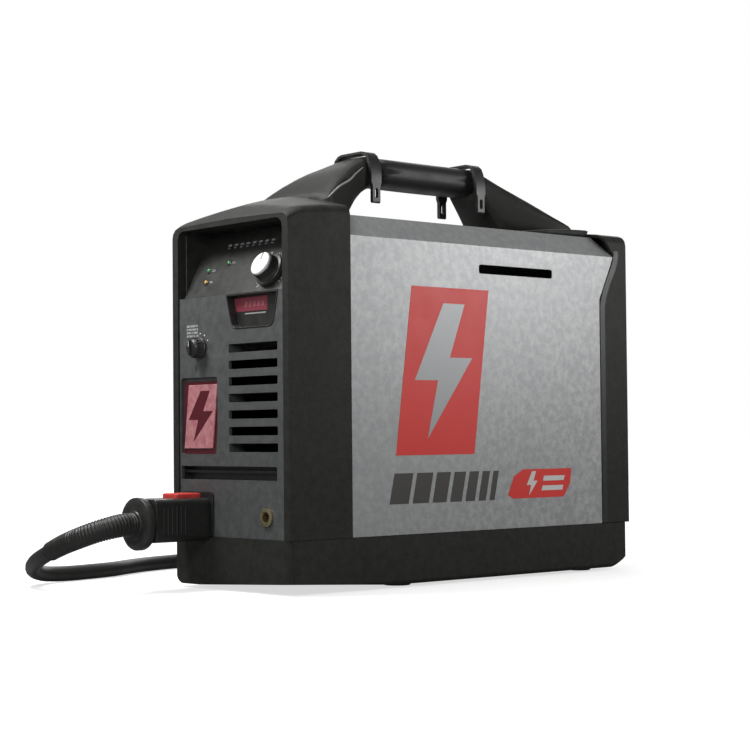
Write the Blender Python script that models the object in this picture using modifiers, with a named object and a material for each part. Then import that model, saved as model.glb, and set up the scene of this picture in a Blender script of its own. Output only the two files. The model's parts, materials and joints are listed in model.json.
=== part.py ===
"""Portable inverter plasma cutter with a hand torch on its lead, modelled in metres with +Z up.

The front faces -Y. The origin is on the floor under the middle of the machine.
"""
import math

import bmesh
import bpy
from mathutils import Matrix, Vector

# Driving dimensions
HALF_WIDTH = 0.0825
FRONT_Y = -0.211
BACK_Y = 0.211
FRONT_SEAM_Y = -0.143
BACK_SEAM_Y = 0.172
TRAY_BOTTOM_Z = 0.0025
TRAY_TOP_Z = 0.045
FOLD_Z = 0.302
DECK_Z = 0.3215
DECK_HALF = 0.0665
CROWN_TOP_Z = 0.343
CROWN_EDGE_Z = 0.326
REAR_CROWN_TOP_Z = 0.3300
REAR_CROWN_EDGE_Z = 0.3230
PLASTIC_WALL = 0.003
SHEET = 0.0012
GAP = 0.0003
OPENING_HALF = 0.0745
OPENING_TOP_Z = 0.3135
PANEL_FRONT_Y = -0.2095
PANEL_THICKNESS = 0.003
SLOT_PITCH = 0.01418
SLOT_HEIGHT = 0.0074
SLOT_TOP_Z = 0.2108
SLOT_COUNT = 7
SLOT_X = (-0.0020, 0.0655)
CONTROL_FOOT = (-0.2060, 0.2540)
CONTROL_TILT = math.radians(27)
HOOD_HALF = 0.0730
CURRENT_KNOB_X = 0.044
CURRENT_KNOB_UP = 0.0185
MODE_KNOB = (-0.0430, 0.2093)
SOCKET = (0.0499, 0.0640)
PLUG = (-0.0475, 0.0605)
PLUG_HALF = (0.0200, 0.0185)
COLLAR_Z = 0.0580
GRIP_HALF_WIDTH = 0.020
GRIP_Z = (0.3585, 0.3855)
GRIP_Y = (-0.0500, 0.0680)
CLIP_Y = (-0.0650, 0.0670)
FAN_CENTRE = (-0.010, 0.165)
FAN_RADIUS = 0.046
LEAD_RADIUS = 0.007
SLEEVE_RADIUS = 0.0102
LEAD_EXIT = (-0.0475, -0.2788, 0.0580)
COIL_CENTRE = (-0.203, 0.060)
COIL_INNER = 0.0665
COIL_OUTER = 0.1093
COIL_HEIGHT = 0.0575
TORCH_REAR = (-0.334, 0.146)
TORCH_AXIS_Z = 0.0165

SLEEVE_ROUTE = [
    LEAD_EXIT,
    (-0.0475, -0.2886, 0.0576),
    (-0.0495, -0.3000, 0.0556),
    (-0.0560, -0.3105, 0.0522),
    (-0.0670, -0.3184, 0.0475),
    (-0.0820, -0.3227, 0.0423),
    (-0.0975, -0.3236, 0.0372),
    (-0.1045, -0.3232, 0.0349),
]
LEAD_ROUTE = [
    (-0.1051, -0.3231, 0.0347),
    (-0.1120, -0.3226, 0.0325),
    (-0.1300, -0.3197, 0.0270),
    (-0.1520, -0.3122, 0.0205),
    (-0.1730, -0.2991, 0.0140),
    (-0.1890, -0.2790, 0.0090),
    (-0.1970, -0.2510, 0.0072),
    (-0.2020, -0.2210, 0.0072),
    (-0.2110, -0.1920, 0.0072),
    (-0.2260, -0.1650, 0.0072),
    (-0.2390, -0.1380, 0.0072),
    (-0.2480, -0.1100, 0.0072),
    (-0.2550, -0.0810, 0.0072),
    (-0.2640, -0.0530, 0.0072),
    (-0.2775, -0.0300, 0.0072),
]
TAIL_ROUTE = [
    (-0.3205, 0.0560, 0.0480),
    (-0.3255, 0.0780, 0.0440),
    (-0.3300, 0.1000, 0.0340),
    (-0.3330, 0.1200, 0.0225),
    (-0.3340, 0.1350, 0.0172),
    (-0.3340, 0.1456, 0.0165),
]

COLOURS = {
    "charcoal_plastic": ((0.035, 0.036, 0.032), 0.55, 0.0),
    "panel_plastic": ((0.135, 0.142, 0.142), 0.5, 0.0),
    "black_plastic": ((0.012, 0.012, 0.012), 0.45, 0.0),
    "grip_rubber": ((0.030, 0.030, 0.028), 0.8, 0.0),
    "cover_paint": ((0.32, 0.33, 0.34), 0.35, 0.6),
    "red_plastic": ((0.85, 0.03, 0.02), 0.4, 0.0),
    "pale_plastic": ((0.70, 0.74, 0.70), 0.35, 0.0),
    "cable_rubber": ((0.022, 0.022, 0.020), 0.7, 0.0),
    "brass": ((0.80, 0.62, 0.28), 0.3, 1.0),
    "copper": ((0.80, 0.42, 0.25), 0.35, 1.0),
    "steel": ((0.55, 0.56, 0.57), 0.35, 1.0),
    "aluminium": ((0.75, 0.76, 0.78), 0.4, 1.0),
    "board_green": ((0.02, 0.20, 0.08), 0.5, 0.0),
    "core_grey": ((0.10, 0.10, 0.11), 0.6, 0.3),
    "clear_bowl": ((0.65, 0.72, 0.78), 0.15, 0.0),
}


def clear_scene():
    for obj in list(bpy.data.objects):
        bpy.data.objects.remove(obj)


def new_collection(name):
    made = bpy.data.collections.new(name)
    bpy.context.scene.collection.children.link(made)
    return made


def material(name):
    found = bpy.data.materials.get(name)
    if found:
        return found
    colour, roughness, metallic = COLOURS[name]
    made = bpy.data.materials.new(name)
    made.use_nodes = True
    shader = made.node_tree.nodes["Principled BSDF"]
    shader.inputs["Base Color"].default_value = (*colour, 1.0)
    shader.inputs["Roughness"].default_value = roughness
    shader.inputs["Metallic"].default_value = metallic
    made.diffuse_color = (*colour, 1.0)
    return made


clear_scene()
PARTS = new_collection("plasma_cutter")
CUTTERS = new_collection("cutters")


# Shape helpers

def add_object(name, data, finish):
    obj = bpy.data.objects.new(name, data)
    obj.data.materials.append(material(finish))
    PARTS.objects.link(obj)
    return obj


def make_cutter(obj):
    PARTS.objects.unlink(obj)
    CUTTERS.objects.link(obj)
    obj.hide_render = True
    obj.display_type = "WIRE"
    return obj


def mesh_object(name, mesh_edit, finish, smooth=False):
    bmesh.ops.recalc_face_normals(mesh_edit, faces=mesh_edit.faces)
    mesh = bpy.data.meshes.new(name)
    mesh_edit.to_mesh(mesh)
    mesh_edit.free()
    if smooth:
        mesh.shade_smooth()
        mesh.set_sharp_from_angle(angle=math.radians(35))
    return add_object(name, mesh, finish)


def bevel(obj, width, segments=2, angle=40):
    made = obj.modifiers.new("edges", "BEVEL")
    made.width = width
    made.segments = segments
    made.limit_method = "ANGLE"
    made.angle_limit = math.radians(angle)
    return obj


def boolean(obj, other, operation="DIFFERENCE"):
    made = obj.modifiers.new(other.name, "BOOLEAN")
    made.operation = operation
    made.object = make_cutter(other)
    return obj


def box(name, x, y, z, finish, edge=0.0):
    """A block between the limits x, y and z, each a (low, high) pair."""
    mesh_edit = bmesh.new()
    bmesh.ops.create_cube(mesh_edit, size=1.0)
    size = Vector((x[1] - x[0], y[1] - y[0], z[1] - z[0]))
    centre = Vector((x[1] + x[0], y[1] + y[0], z[1] + z[0])) / 2
    for vertex in mesh_edit.verts:
        vertex.co = Vector(a * b for a, b in zip(vertex.co, size)) + centre
    obj = mesh_object(name, mesh_edit, finish)
    return bevel(obj, edge) if edge else obj


def turn_matrix(axis):
    """Takes a shape drawn about +Z to the given axis."""
    return Vector((0, 0, 1)).rotation_difference(Vector(axis)).to_matrix().to_4x4()


def cylinder(name, centre, axis, radius, length, finish, sides=24, far_radius=None):
    """A round bar or cone whose origin is its centre."""
    mesh_edit = bmesh.new()
    bmesh.ops.create_cone(
        mesh_edit,
        cap_ends=True,
        segments=sides,
        radius1=radius,
        radius2=radius if far_radius is None else far_radius,
        depth=length,
    )
    bmesh.ops.transform(mesh_edit, matrix=turn_matrix(axis), verts=mesh_edit.verts)
    obj = mesh_object(name, mesh_edit, finish, smooth=True)
    obj.location = centre
    return obj


def turned(name, profile, centre, axis, finish, sides=32):
    """A closed (radius, height) profile turned about an axis through the centre."""
    mesh_edit = bmesh.new()
    rings = []
    for step in range(sides):
        angle = 2 * math.pi * step / sides
        rings.append([
            mesh_edit.verts.new((r * math.cos(angle), r * math.sin(angle), h))
            for r, h in profile
        ])
    for here, there in zip(rings, rings[1:] + rings[:1]):
        for index in range(len(profile)):
            after = (index + 1) % len(profile)
            mesh_edit.faces.new((here[index], here[after], there[after], there[index]))
    bmesh.ops.transform(mesh_edit, matrix=turn_matrix(axis), verts=mesh_edit.verts)
    obj = mesh_object(name, mesh_edit, finish, smooth=True)
    obj.location = centre
    return obj


def ring_profile(inner, outer, height):
    half = height / 2
    return [(outer, half), (outer, -half), (inner, -half), (inner, half)]


def rounded(corners, steps=3):
    """Points of an outline whose corners (a, b, radius) are rounded by arcs."""
    points = []
    count = len(corners)
    for index, (a, b, radius) in enumerate(corners):
        if radius == 0:
            points.append((a, b))
            continue
        here = Vector((a, b))
        to_last = (Vector(corners[index - 1][:2]) - here).normalized()
        to_next = (Vector(corners[(index + 1) % count][:2]) - here).normalized()
        half = to_last.angle(to_next) / 2
        centre = here + (to_last + to_next).normalized() * radius / math.sin(half)
        start = here + to_last * radius / math.tan(half) - centre
        end = here + to_next * radius / math.tan(half) - centre
        sweep = math.remainder(math.atan2(end.y, end.x) - math.atan2(start.y, start.x), 2 * math.pi)
        for step in range(steps + 1):
            spoke = start.copy()
            spoke.rotate(Matrix.Rotation(sweep * step / steps, 2))
            points.append(tuple(centre + spoke))
    return points


def rectangle(a, b, radius=0.0):
    corners = [(a[0], b[0]), (a[1], b[0]), (a[1], b[1]), (a[0], b[1])]
    return rounded([(p, q, radius) for p, q in corners])


def circle(a, b, radius, sides=24):
    turns = [2 * math.pi * step / sides for step in range(sides)]
    return [(a + radius * math.cos(t), b + radius * math.sin(t)) for t in turns]


# Columns send an outline's own axes to the machine's axes.
OUTLINE_FRAMES = {
    "X": Matrix(((0, 0, 1), (1, 0, 0), (0, 1, 0))),
    "Y": Matrix(((1, 0, 0), (0, 0, -1), (0, 1, 0))),
    "Z": Matrix.Identity(3),
}


def prism(name, outlines, axis, low, high, finish):
    """Flat outlines pushed along an axis from low to high. An outline inside another is a hole."""
    curve = bpy.data.curves.new(name, "CURVE")
    curve.dimensions = "2D"
    curve.fill_mode = "BOTH"
    curve.extrude = (high - low) / 2
    for outline in outlines:
        spline = curve.splines.new("POLY")
        spline.points.add(len(outline) - 1)
        spline.use_cyclic_u = True
        for point, (a, b) in zip(spline.points, outline):
            point.co = (a, b, 0, 1)
    holder = bpy.data.objects.new(name + "_curve", curve)
    bpy.context.scene.collection.objects.link(holder)
    mesh = bpy.data.meshes.new_from_object(holder.evaluated_get(bpy.context.evaluated_depsgraph_get()))
    bpy.data.objects.remove(holder)
    mesh_edit = bmesh.new()
    mesh_edit.from_mesh(mesh)
    bmesh.ops.remove_doubles(mesh_edit, verts=mesh_edit.verts, dist=1e-6)
    middle = (low + high) / 2
    offset = {"X": (middle, 0, 0), "Y": (0, middle, 0), "Z": (0, 0, middle)}[axis]
    matrix = Matrix.Translation(offset) @ OUTLINE_FRAMES[axis].to_4x4()
    bmesh.ops.transform(mesh_edit, matrix=matrix, verts=mesh_edit.verts)
    return mesh_object(name, mesh_edit, finish)


def loft(name, rings, finish):
    """A closed skin over rings that have the same number of points."""
    mesh_edit = bmesh.new()
    made = [[mesh_edit.verts.new(point) for point in ring] for ring in rings]
    for here, there in zip(made, made[1:]):
        for index in range(len(here)):
            after = (index + 1) % len(here)
            mesh_edit.faces.new((here[index], here[after], there[after], there[index]))
    mesh_edit.faces.new(made[0])
    mesh_edit.faces.new(made[-1])
    return mesh_object(name, mesh_edit, finish, smooth=True)


def smooth_path(points, spacing):
    """Points about one spacing apart on a Catmull-Rom curve through the given points."""
    points = [Vector(point) for point in points]
    ends = [points[0] * 2 - points[1]] + points + [points[-1] * 2 - points[-2]]
    path = [points[0]]
    for a, b, c, d in zip(ends, ends[1:], ends[2:], ends[3:]):
        steps = max(1, round((c - b).length / spacing))
        for step in range(1, steps + 1):
            t = step / steps
            path.append(0.5 * (2 * b + (c - a) * t + (2 * a - 5 * b + 4 * c - d) * t * t
                               + (3 * b - a - 3 * c + d) * t ** 3))
    return path


def tube(name, route, radius, finish, spacing, resolution=2, radii=None):
    """A filled tube along a smooth route."""
    path = smooth_path(route, spacing)
    curve = bpy.data.curves.new(name, "CURVE")
    curve.dimensions = "3D"
    curve.bevel_depth = radius
    curve.bevel_resolution = resolution
    curve.use_fill_caps = True
    spline = curve.splines.new("POLY")
    spline.points.add(len(path) - 1)
    for index, (point, place) in enumerate(zip(spline.points, path)):
        point.co = (*place, 1)
        if radii:
            point.radius = radii[0] + (radii[1] - radii[0]) * index / (len(path) - 1)
    return add_object(name, curve, finish)


# Casing

def crown_outline(half_width, foot, edge, top, shoulder, power=1.35):
    """A front view: straight sides, rounded shoulders and a crowned top."""
    parts = (0.6, 0.3, 0, -0.3, -0.6)
    crown = [(half_width * part, top - (top - edge) * abs(part) ** power, 0) for part in parts]
    corners = [(-half_width, foot, 0), (half_width, foot, 0), (half_width, edge, shoulder)]
    return rounded(corners + crown + [(-half_width, edge, shoulder)])


def cap_skin(name, shrink, stations):
    """A loft of crowned front views, each (y, edge height, top height), drawn in by shrink."""
    rings = []
    for y, edge, top in stations:
        foot = TRAY_TOP_Z + GAP - shrink * 4
        outline = crown_outline(HALF_WIDTH - shrink, foot, edge - shrink, top - shrink, 0.009)
        rings.append([(a, y, b) for a, b in outline])
    return loft(name, rings, "charcoal_plastic")


def front_cap():
    cap = cap_skin("front_cap", 0, [
        (FRONT_Y, 0.3165, 0.3185),
        (-0.2080, 0.3185, 0.3225),
        (-0.2010, 0.3215, 0.3290),
        (-0.1910, 0.3235, 0.3325),
        (-0.1700, 0.3255, 0.3380),
        (FRONT_SEAM_Y - GAP, CROWN_EDGE_Z, CROWN_TOP_Z),
    ])
    boolean(cap, cap_skin("cap_hollow", PLASTIC_WALL, [
        (-0.2030, 0.3205, 0.3275),
        (-0.1910, 0.3235, 0.3325),
        (-0.1700, 0.3255, 0.3380),
        (FRONT_SEAM_Y, CROWN_EDGE_Z, CROWN_TOP_Z),
        (-0.1300, CROWN_EDGE_Z, CROWN_TOP_Z),
    ]))
    window = rounded([
        (-OPENING_HALF, 0.0, 0),
        (OPENING_HALF, 0.0, 0),
        (OPENING_HALF, OPENING_TOP_Z, 0.008),
        (-OPENING_HALF, OPENING_TOP_Z, 0.008),
    ])
    boolean(cap, prism("cap_window", [window], "Y", -0.22, -0.20, "charcoal_plastic"))


def side_cover():
    inset = 0.0005
    outer = [
        (HALF_WIDTH - inset, TRAY_TOP_Z + GAP),
        (HALF_WIDTH - inset, FOLD_Z),
        (DECK_HALF, DECK_Z),
    ]
    inner = [
        (HALF_WIDTH - inset - SHEET, TRAY_TOP_Z + GAP),
        (HALF_WIDTH - inset - SHEET, FOLD_Z - SHEET * 0.4),
        (DECK_HALF - SHEET * 0.4, DECK_Z - SHEET),
    ]
    left_side = [(-a, b) for a, b in reversed(outer)] + [(-a, b) for a, b in inner]
    outline = outer + left_side + inner[::-1]
    cover = prism("side_cover", [outline], "Y", FRONT_SEAM_Y, 0.194, "cover_paint")
    behind = [
        (BACK_SEAM_Y, 0.0),
        (BACK_SEAM_Y, 0.2600),
        (0.1925, 0.3020),
        (0.1770, DECK_Z + 0.0005),
        (0.1770, 0.36),
        (0.25, 0.36),
        (0.25, 0.0),
    ]
    boolean(cover, prism("cover_back_edge", [behind], "X", -0.1, 0.1, "cover_paint"))
    vent = rectangle((0.010, 0.106), (0.2770, 0.2850), 0.002)
    boolean(cover, prism("cover_vent", [vent], "X", -0.1, 0.1, "cover_paint"))


def rear_cap():
    side = [
        (BACK_SEAM_Y + GAP, TRAY_TOP_Z + GAP, 0),
        (BACK_Y, TRAY_TOP_Z + GAP, 0),
        (BACK_Y, REAR_CROWN_TOP_Z, 0.009),
        (0.1775, REAR_CROWN_TOP_Z, 0),
        (0.1775, DECK_Z + 0.0010, 0),
        (0.1934, 0.3022, 0),
        (BACK_SEAM_Y + GAP, 0.2600, 0),
    ]
    cap = prism("rear_cap", [rounded(side)], "X", -HALF_WIDTH, HALF_WIDTH, "charcoal_plastic")
    crown = crown_outline(HALF_WIDTH, 0, REAR_CROWN_EDGE_Z, REAR_CROWN_TOP_Z + 0.001, 0.010)
    boolean(cap, prism("rear_crown", [crown], "Y", 0.16, 0.22, "charcoal_plastic"), "INTERSECT")
    wall = PLASTIC_WALL
    inner = crown_outline(HALF_WIDTH - wall, 0, REAR_CROWN_EDGE_Z - wall, REAR_CROWN_TOP_Z - wall, 0.008)
    boolean(cap, prism("rear_hollow", [inner], "Y", 0.16, 0.203, "charcoal_plastic"))
    window = rectangle((-0.0700, 0.0700), (0.0, 0.3040), 0.006)
    boolean(cap, prism("rear_window", [window], "Y", 0.19, 0.22, "charcoal_plastic"))


def base_tray():
    side = [
        (FRONT_Y, TRAY_BOTTOM_Z, 0),
        (0.186, TRAY_BOTTOM_Z, 0),
        (BACK_Y, 0.0145, 0),
        (BACK_Y, TRAY_TOP_Z, 0),
        (FRONT_Y, TRAY_TOP_Z, 0),
    ]
    tray = prism("base_tray", [rounded(side)], "X", -HALF_WIDTH, HALF_WIDTH, "charcoal_plastic")
    plan = rounded([
        (-HALF_WIDTH, FRONT_Y, 0.006),
        (HALF_WIDTH, FRONT_Y, 0.006),
        (HALF_WIDTH, BACK_Y, 0.010),
        (-HALF_WIDTH, BACK_Y, 0.010),
    ])
    boolean(tray, prism("tray_plan", [plan], "Z", -0.01, 0.06, "charcoal_plastic"), "INTERSECT")
    ramp = [
        [(x, -0.090, TRAY_BOTTOM_Z), (x, -0.220, high), (x, -0.220, -0.02), (x, -0.090, -0.02)]
        for x, high in ((-0.1, 0.0025), (-0.045, 0.0032), (0.1, 0.0107))
    ]
    boolean(tray, loft("tray_ramp", ramp, "charcoal_plastic"))
    for side_sign, radius in ((-1, 0.016), (1, 0.004)):
        shaving = box(f"tray_edge_{radius * 1000:.0f}", sorted((side_sign * (HALF_WIDTH - radius), side_sign * 0.1)),
                      (-0.3, 0.3), (-0.01, TRAY_BOTTOM_Z + radius), "charcoal_plastic")
        boolean(shaving, cylinder(f"tray_round_{radius * 1000:.0f}",
                                  (side_sign * (HALF_WIDTH - radius), 0, TRAY_BOTTOM_Z + radius),
                                  (0, 1, 0), radius, 0.7, "charcoal_plastic", 32))
        boolean(tray, shaving)
    wall = PLASTIC_WALL
    boolean(tray, box("tray_hollow", (wall - HALF_WIDTH, HALF_WIDTH - wall), (FRONT_Y + 0.006, BACK_Y - 0.006),
                      (0.0130, 0.06), "charcoal_plastic"))
    for number, (x, y) in enumerate(foot_places(), 1):
        boolean(tray, cylinder(f"foot_socket_{number}", (x, y, 0.0), (0, 0, 1), 0.0123, 0.010, "grip_rubber"))


def foot_places():
    return [(x, y) for y in (-0.070, 0.165) for x in (-0.056, 0.056)]


def feet():
    for number, (x, y) in enumerate(foot_places(), 1):
        foot = cylinder(f"foot_{number}", (x, y, 0.00235), (0, 0, 1), 0.0120, 0.0047, "grip_rubber")
        bevel(foot, 0.0006, 1)


# Front

def slot_rows():
    return [SLOT_TOP_Z - SLOT_PITCH * row - SLOT_HEIGHT for row in range(SLOT_COUNT)]


def front_panel():
    edge = OPENING_HALF - GAP
    outline = rounded([
        (-edge, TRAY_TOP_Z + GAP, 0),
        (edge, TRAY_TOP_Z + GAP, 0),
        (edge, 0.2535, 0),
        (0.0675, 0.2535, 0),
        (0.0605, 0.2230, 0.008),
        (0.0025, 0.2230, 0.008),
        (-0.0060, 0.2535, 0),
        (-edge, 0.2535, 0),
    ])
    holes = [rectangle(SLOT_X, (low, low + SLOT_HEIGHT), 0.001) for low in slot_rows()]
    holes.append(rectangle((-0.0725, -0.0185), (0.1165, 0.1835), 0.003))
    holes.append(rectangle((-0.0725, 0.0640), (0.0945, 0.1062), 0.001))
    holes.append(circle(*MODE_KNOB, 0.0034, 12))
    holes.append(circle(*SOCKET, 0.0084))
    holes.append(circle(*PLUG, 0.0144))
    prism("front_panel", [outline] + holes, "Y", PANEL_FRONT_Y, PANEL_FRONT_Y + PANEL_THICKNESS, "panel_plastic")


def louvre_grille():
    outline = rectangle((SLOT_X[0] - 0.005, SLOT_X[1] + 0.005), (0.1135, 0.2150), 0.002)
    holes = [rectangle(SLOT_X, (low, low + SLOT_HEIGHT), 0.001) for low in slot_rows()]
    start = PANEL_FRONT_Y + PANEL_THICKNESS + GAP
    prism("louvre_grille", [outline] + holes, "Y", start, start + 0.013, "panel_plastic")


def recess_plates():
    """The floor of the badge pocket and of the wide groove, each with its raised part."""
    start = PANEL_FRONT_Y + PANEL_THICKNESS + GAP
    box("badge_plate", (-0.0740, -0.0170), (start, start + 0.002), (0.1145, 0.1855), "panel_plastic")
    bar = box("groove_bar", (-0.0745, 0.0670), (start, start + 0.0075), (0.0925, 0.1082), "black_plastic")
    boolean(bar, box("groove_floor", (-0.0725, 0.0640), (start - 0.001, start + 0.0055), (0.0945, 0.1062),
                     "black_plastic"))
    rib = box("groove_rib", (-0.0735, 0.0650), (start + 0.0004, start + 0.0030), (0.1004, 0.1028), "black_plastic")
    boolean(bar, rib, "UNION")
    bevel(box("badge_mark", (-0.0640, -0.0270), (start - 0.0019, start - GAP), (0.1220, 0.1780), "pale_plastic"),
          0.0005, 1)


def display_bezel():
    outline = rounded([
        (0.0671, 0.2532, 0),
        (-0.0056, 0.2532, 0),
        (0.0028, 0.2233, 0.0077),
        (0.0602, 0.2233, 0.0077),
    ])
    bezel = prism("display_bezel", [outline], "Y", -0.2100, -0.1995, "black_plastic")
    pocket = rounded([
        (0.0652, 0.2520, 0),
        (-0.0039, 0.2520, 0),
        (0.0039, 0.2245, 0.0066),
        (0.0591, 0.2245, 0.0066),
    ])
    boolean(bezel, prism("display_pocket", [pocket], "Y", -0.2120, -0.2020, "black_plastic"))


def control_point(x, up, out):
    """A point on the tilted control face, up its slope and out along its normal."""
    y, z = CONTROL_FOOT
    return Vector((
        x,
        y + up * math.sin(CONTROL_TILT) - out * math.cos(CONTROL_TILT),
        z + up * math.cos(CONTROL_TILT) + out * math.sin(CONTROL_TILT),
    ))


def control_normal():
    return Vector((0, -math.cos(CONTROL_TILT), math.sin(CONTROL_TILT)))


def control_panel():
    """The tilted face, set between the cheeks and under the ceiling of a hood."""
    rise = OPENING_TOP_Z - GAP - CONTROL_FOOT[1]
    run = rise * math.tan(CONTROL_TILT)
    thickness = 0.003
    slab = [
        (CONTROL_FOOT[0] + GAP, CONTROL_FOOT[1]),
        (CONTROL_FOOT[0] + GAP + run, CONTROL_FOOT[1] + rise),
        (CONTROL_FOOT[0] + GAP + run + thickness, CONTROL_FOOT[1] + rise),
        (CONTROL_FOOT[0] + GAP + thickness, CONTROL_FOOT[1]),
    ]
    panel = prism("control_panel", [slab], "X", GAP - HOOD_HALF, HOOD_HALF - GAP, "black_plastic")
    shaft_hole = cylinder("shaft_hole", control_point(CURRENT_KNOB_X, CURRENT_KNOB_UP, 0), control_normal(),
                          0.0034, 0.02, "black_plastic", 12)
    boolean(panel, shaft_hole)
    outer = HOOD_HALF + 0.0045
    hood = [
        (HOOD_HALF, CONTROL_FOOT[1]),
        (outer, CONTROL_FOOT[1]),
        (outer, OPENING_TOP_Z + 0.0010),
        (-outer, OPENING_TOP_Z + 0.0010),
        (-outer, CONTROL_FOOT[1]),
        (-HOOD_HALF, CONTROL_FOOT[1]),
        (-HOOD_HALF, OPENING_TOP_Z),
        (HOOD_HALF, OPENING_TOP_Z),
    ]
    prism("control_hood", [hood], "Y", -0.2027, -0.1720, "black_plastic")


def current_knob():
    place = control_point(CURRENT_KNOB_X, CURRENT_KNOB_UP, 0)
    profile = [
        (0.0, 0.0125), (0.0110, 0.0125), (0.0118, 0.0050), (0.0150, 0.0040), (0.0150, 0.0006), (0.0030, 0.0006),
        (0.0030, -0.0080), (0.0, -0.0080),
    ]
    solid_of_revolution("current_knob", profile, place, control_normal(), "black_plastic")
    cap = [(0.0, 0.0152), (0.0098, 0.0152), (0.0107, 0.0142), (0.0107, 0.0128), (0.0, 0.0128)]
    solid_of_revolution("current_knob_cap", cap, place, control_normal(), "pale_plastic")


def solid_of_revolution(name, profile, centre, axis, finish, steps=24):
    """An open (radius, height) profile from pole to pole, listed down its outer side, with a Screw modifier."""
    mesh = bpy.data.meshes.new(name)
    mesh.from_pydata([(r, 0, h) for r, h in profile], [(i, i + 1) for i in range(len(profile) - 1)], [])
    obj = add_object(name, mesh, finish)
    screw = obj.modifiers.new("turn", "SCREW")
    screw.axis = "Z"
    screw.steps = steps
    screw.render_steps = steps
    screw.use_merge_vertices = True
    screw.merge_threshold = 0.00001
    screw.use_smooth_shade = True
    obj.location = centre
    obj.rotation_mode = "QUATERNION"
    obj.rotation_quaternion = Vector((0, 0, 1)).rotation_difference(Vector(axis))
    return obj


def mode_knob():
    profile = [
        (0.0, 0.0110), (0.0070, 0.0110), (0.0088, 0.0095), (0.0095, 0.0006), (0.0030, 0.0006), (0.0030, -0.0060),
        (0.0, -0.0060),
    ]
    place = (MODE_KNOB[0], PANEL_FRONT_Y, MODE_KNOB[1])
    knob = solid_of_revolution("mode_knob", profile, place, (0, -1, 0), "black_plastic")
    pointer = box("knob_pointer", (MODE_KNOB[0] - 0.0012, MODE_KNOB[0] + 0.0012), (-0.2225, -0.2190),
                  (MODE_KNOB[1] + 0.0008, MODE_KNOB[1] + 0.0078), "black_plastic")
    boolean(knob, pointer, "UNION")


def work_socket():
    place = (SOCKET[0], FRONT_Y, SOCKET[1])
    profile = [(0.0080, 0.0), (0.0080, -0.0200), (0.0045, -0.0200), (0.0045, 0.0)]
    turned("work_socket_ring", profile, place, (0, -1, 0), "brass")
    insulator = [(0.0130, 0.0), (0.0130, -0.0140), (0.0083, -0.0140), (0.0083, 0.0)]
    turned("work_socket_insulator", insulator, (SOCKET[0], PANEL_FRONT_Y + PANEL_THICKNESS + GAP, SOCKET[1]),
           (0, -1, 0), "black_plastic")


# Torch connection

def torch_receptacle():
    x, z = PLUG
    outline = rectangle((x - 0.0235, x + 0.0235), (z - 0.0148, z + 0.0235), 0.004)
    flange = prism("torch_receptacle", [outline, circle(x, z, 0.0132, 32)], "Y", FRONT_Y, PANEL_FRONT_Y - GAP,
                   "black_plastic")
    barrel = [(0.0140, 0.0012), (0.0140, -0.0240), (0.0122, -0.0240), (0.0122, 0.0012)]
    boolean(flange, turned("receptacle_barrel", barrel, (x, PANEL_FRONT_Y, z), (0, -1, 0), "black_plastic"), "UNION")
    floor = cylinder("receptacle_floor", (x, PANEL_FRONT_Y + 0.0215, z), (0, 1, 0), 0.0131, 0.0030, "black_plastic", 32)
    boolean(flange, floor, "UNION")


def torch_plug():
    x, z = PLUG
    rear = FRONT_Y - GAP
    half, half_tall = PLUG_HALF
    plug = prism("torch_plug", [rectangle((x - half, x + half), (z - half_tall, z + half_tall), 0.005)], "Y",
                 rear - 0.0560, rear, "black_plastic")
    boolean(plug, cylinder("plug_nose", (x, rear + 0.008, z), (0, 1, 0), 0.0118, 0.020, "black_plastic"), "UNION")
    pocket = box("button_pocket", (x - 0.0100, x + 0.0130), (rear - 0.0305, rear - 0.0035),
                 (z + half_tall - 0.0060, z + half_tall + 0.01), "black_plastic")
    boolean(plug, pocket)
    button = box("plug_release_button", (x - 0.0096, x + 0.0126), (rear - 0.0300, rear - 0.0040),
                 (z + half_tall - 0.0024, z + half_tall + 0.0042), "red_plastic")
    bevel(button, 0.0015)
    collar = [
        (0.0, 0.0105), (0.0190, 0.0105), (0.0225, 0.0080), (0.0225, 0.0015), (0.0205, 0.0), (0.0, 0.0),
    ]
    solid_of_revolution("plug_collar", collar, (x, rear - 0.0563, COLLAR_Z), (0, -1, 0), "black_plastic", 28)


def torch_lead():
    tube("torch_lead_sleeve", SLEEVE_ROUTE, SLEEVE_RADIUS, "cable_rubber", 0.009, 3, radii=(1.0, 0.82))
    tube("torch_lead", LEAD_ROUTE, LEAD_RADIUS, "cable_rubber", 0.017)
    tube("torch_lead_tail", TAIL_ROUTE, LEAD_RADIUS, "cable_rubber", 0.014)
    profile = ring_profile(COIL_INNER, COIL_OUTER, COIL_HEIGHT)
    turned("torch_lead_coil", profile, (*COIL_CENTRE, COIL_HEIGHT / 2), (0, 0, 1), "cable_rubber", 40)


# Hand torch, lying on the floor

def torch_ring(y, half_width, low, high, points=16):
    """A rounded ring across the torch, set out around its axis."""
    x = TORCH_REAR[0]
    middle = (low + high) / 2
    turns = [2 * math.pi * (step + 0.5) / points for step in range(points)]
    squared = [
        (math.copysign(abs(math.cos(t)) ** 0.75, math.cos(t)), math.copysign(abs(math.sin(t)) ** 0.75, math.sin(t)))
        for t in turns
    ]
    return [(x + half_width * a, y, middle + (high - low) / 2 * b) for a, b in squared]


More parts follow.
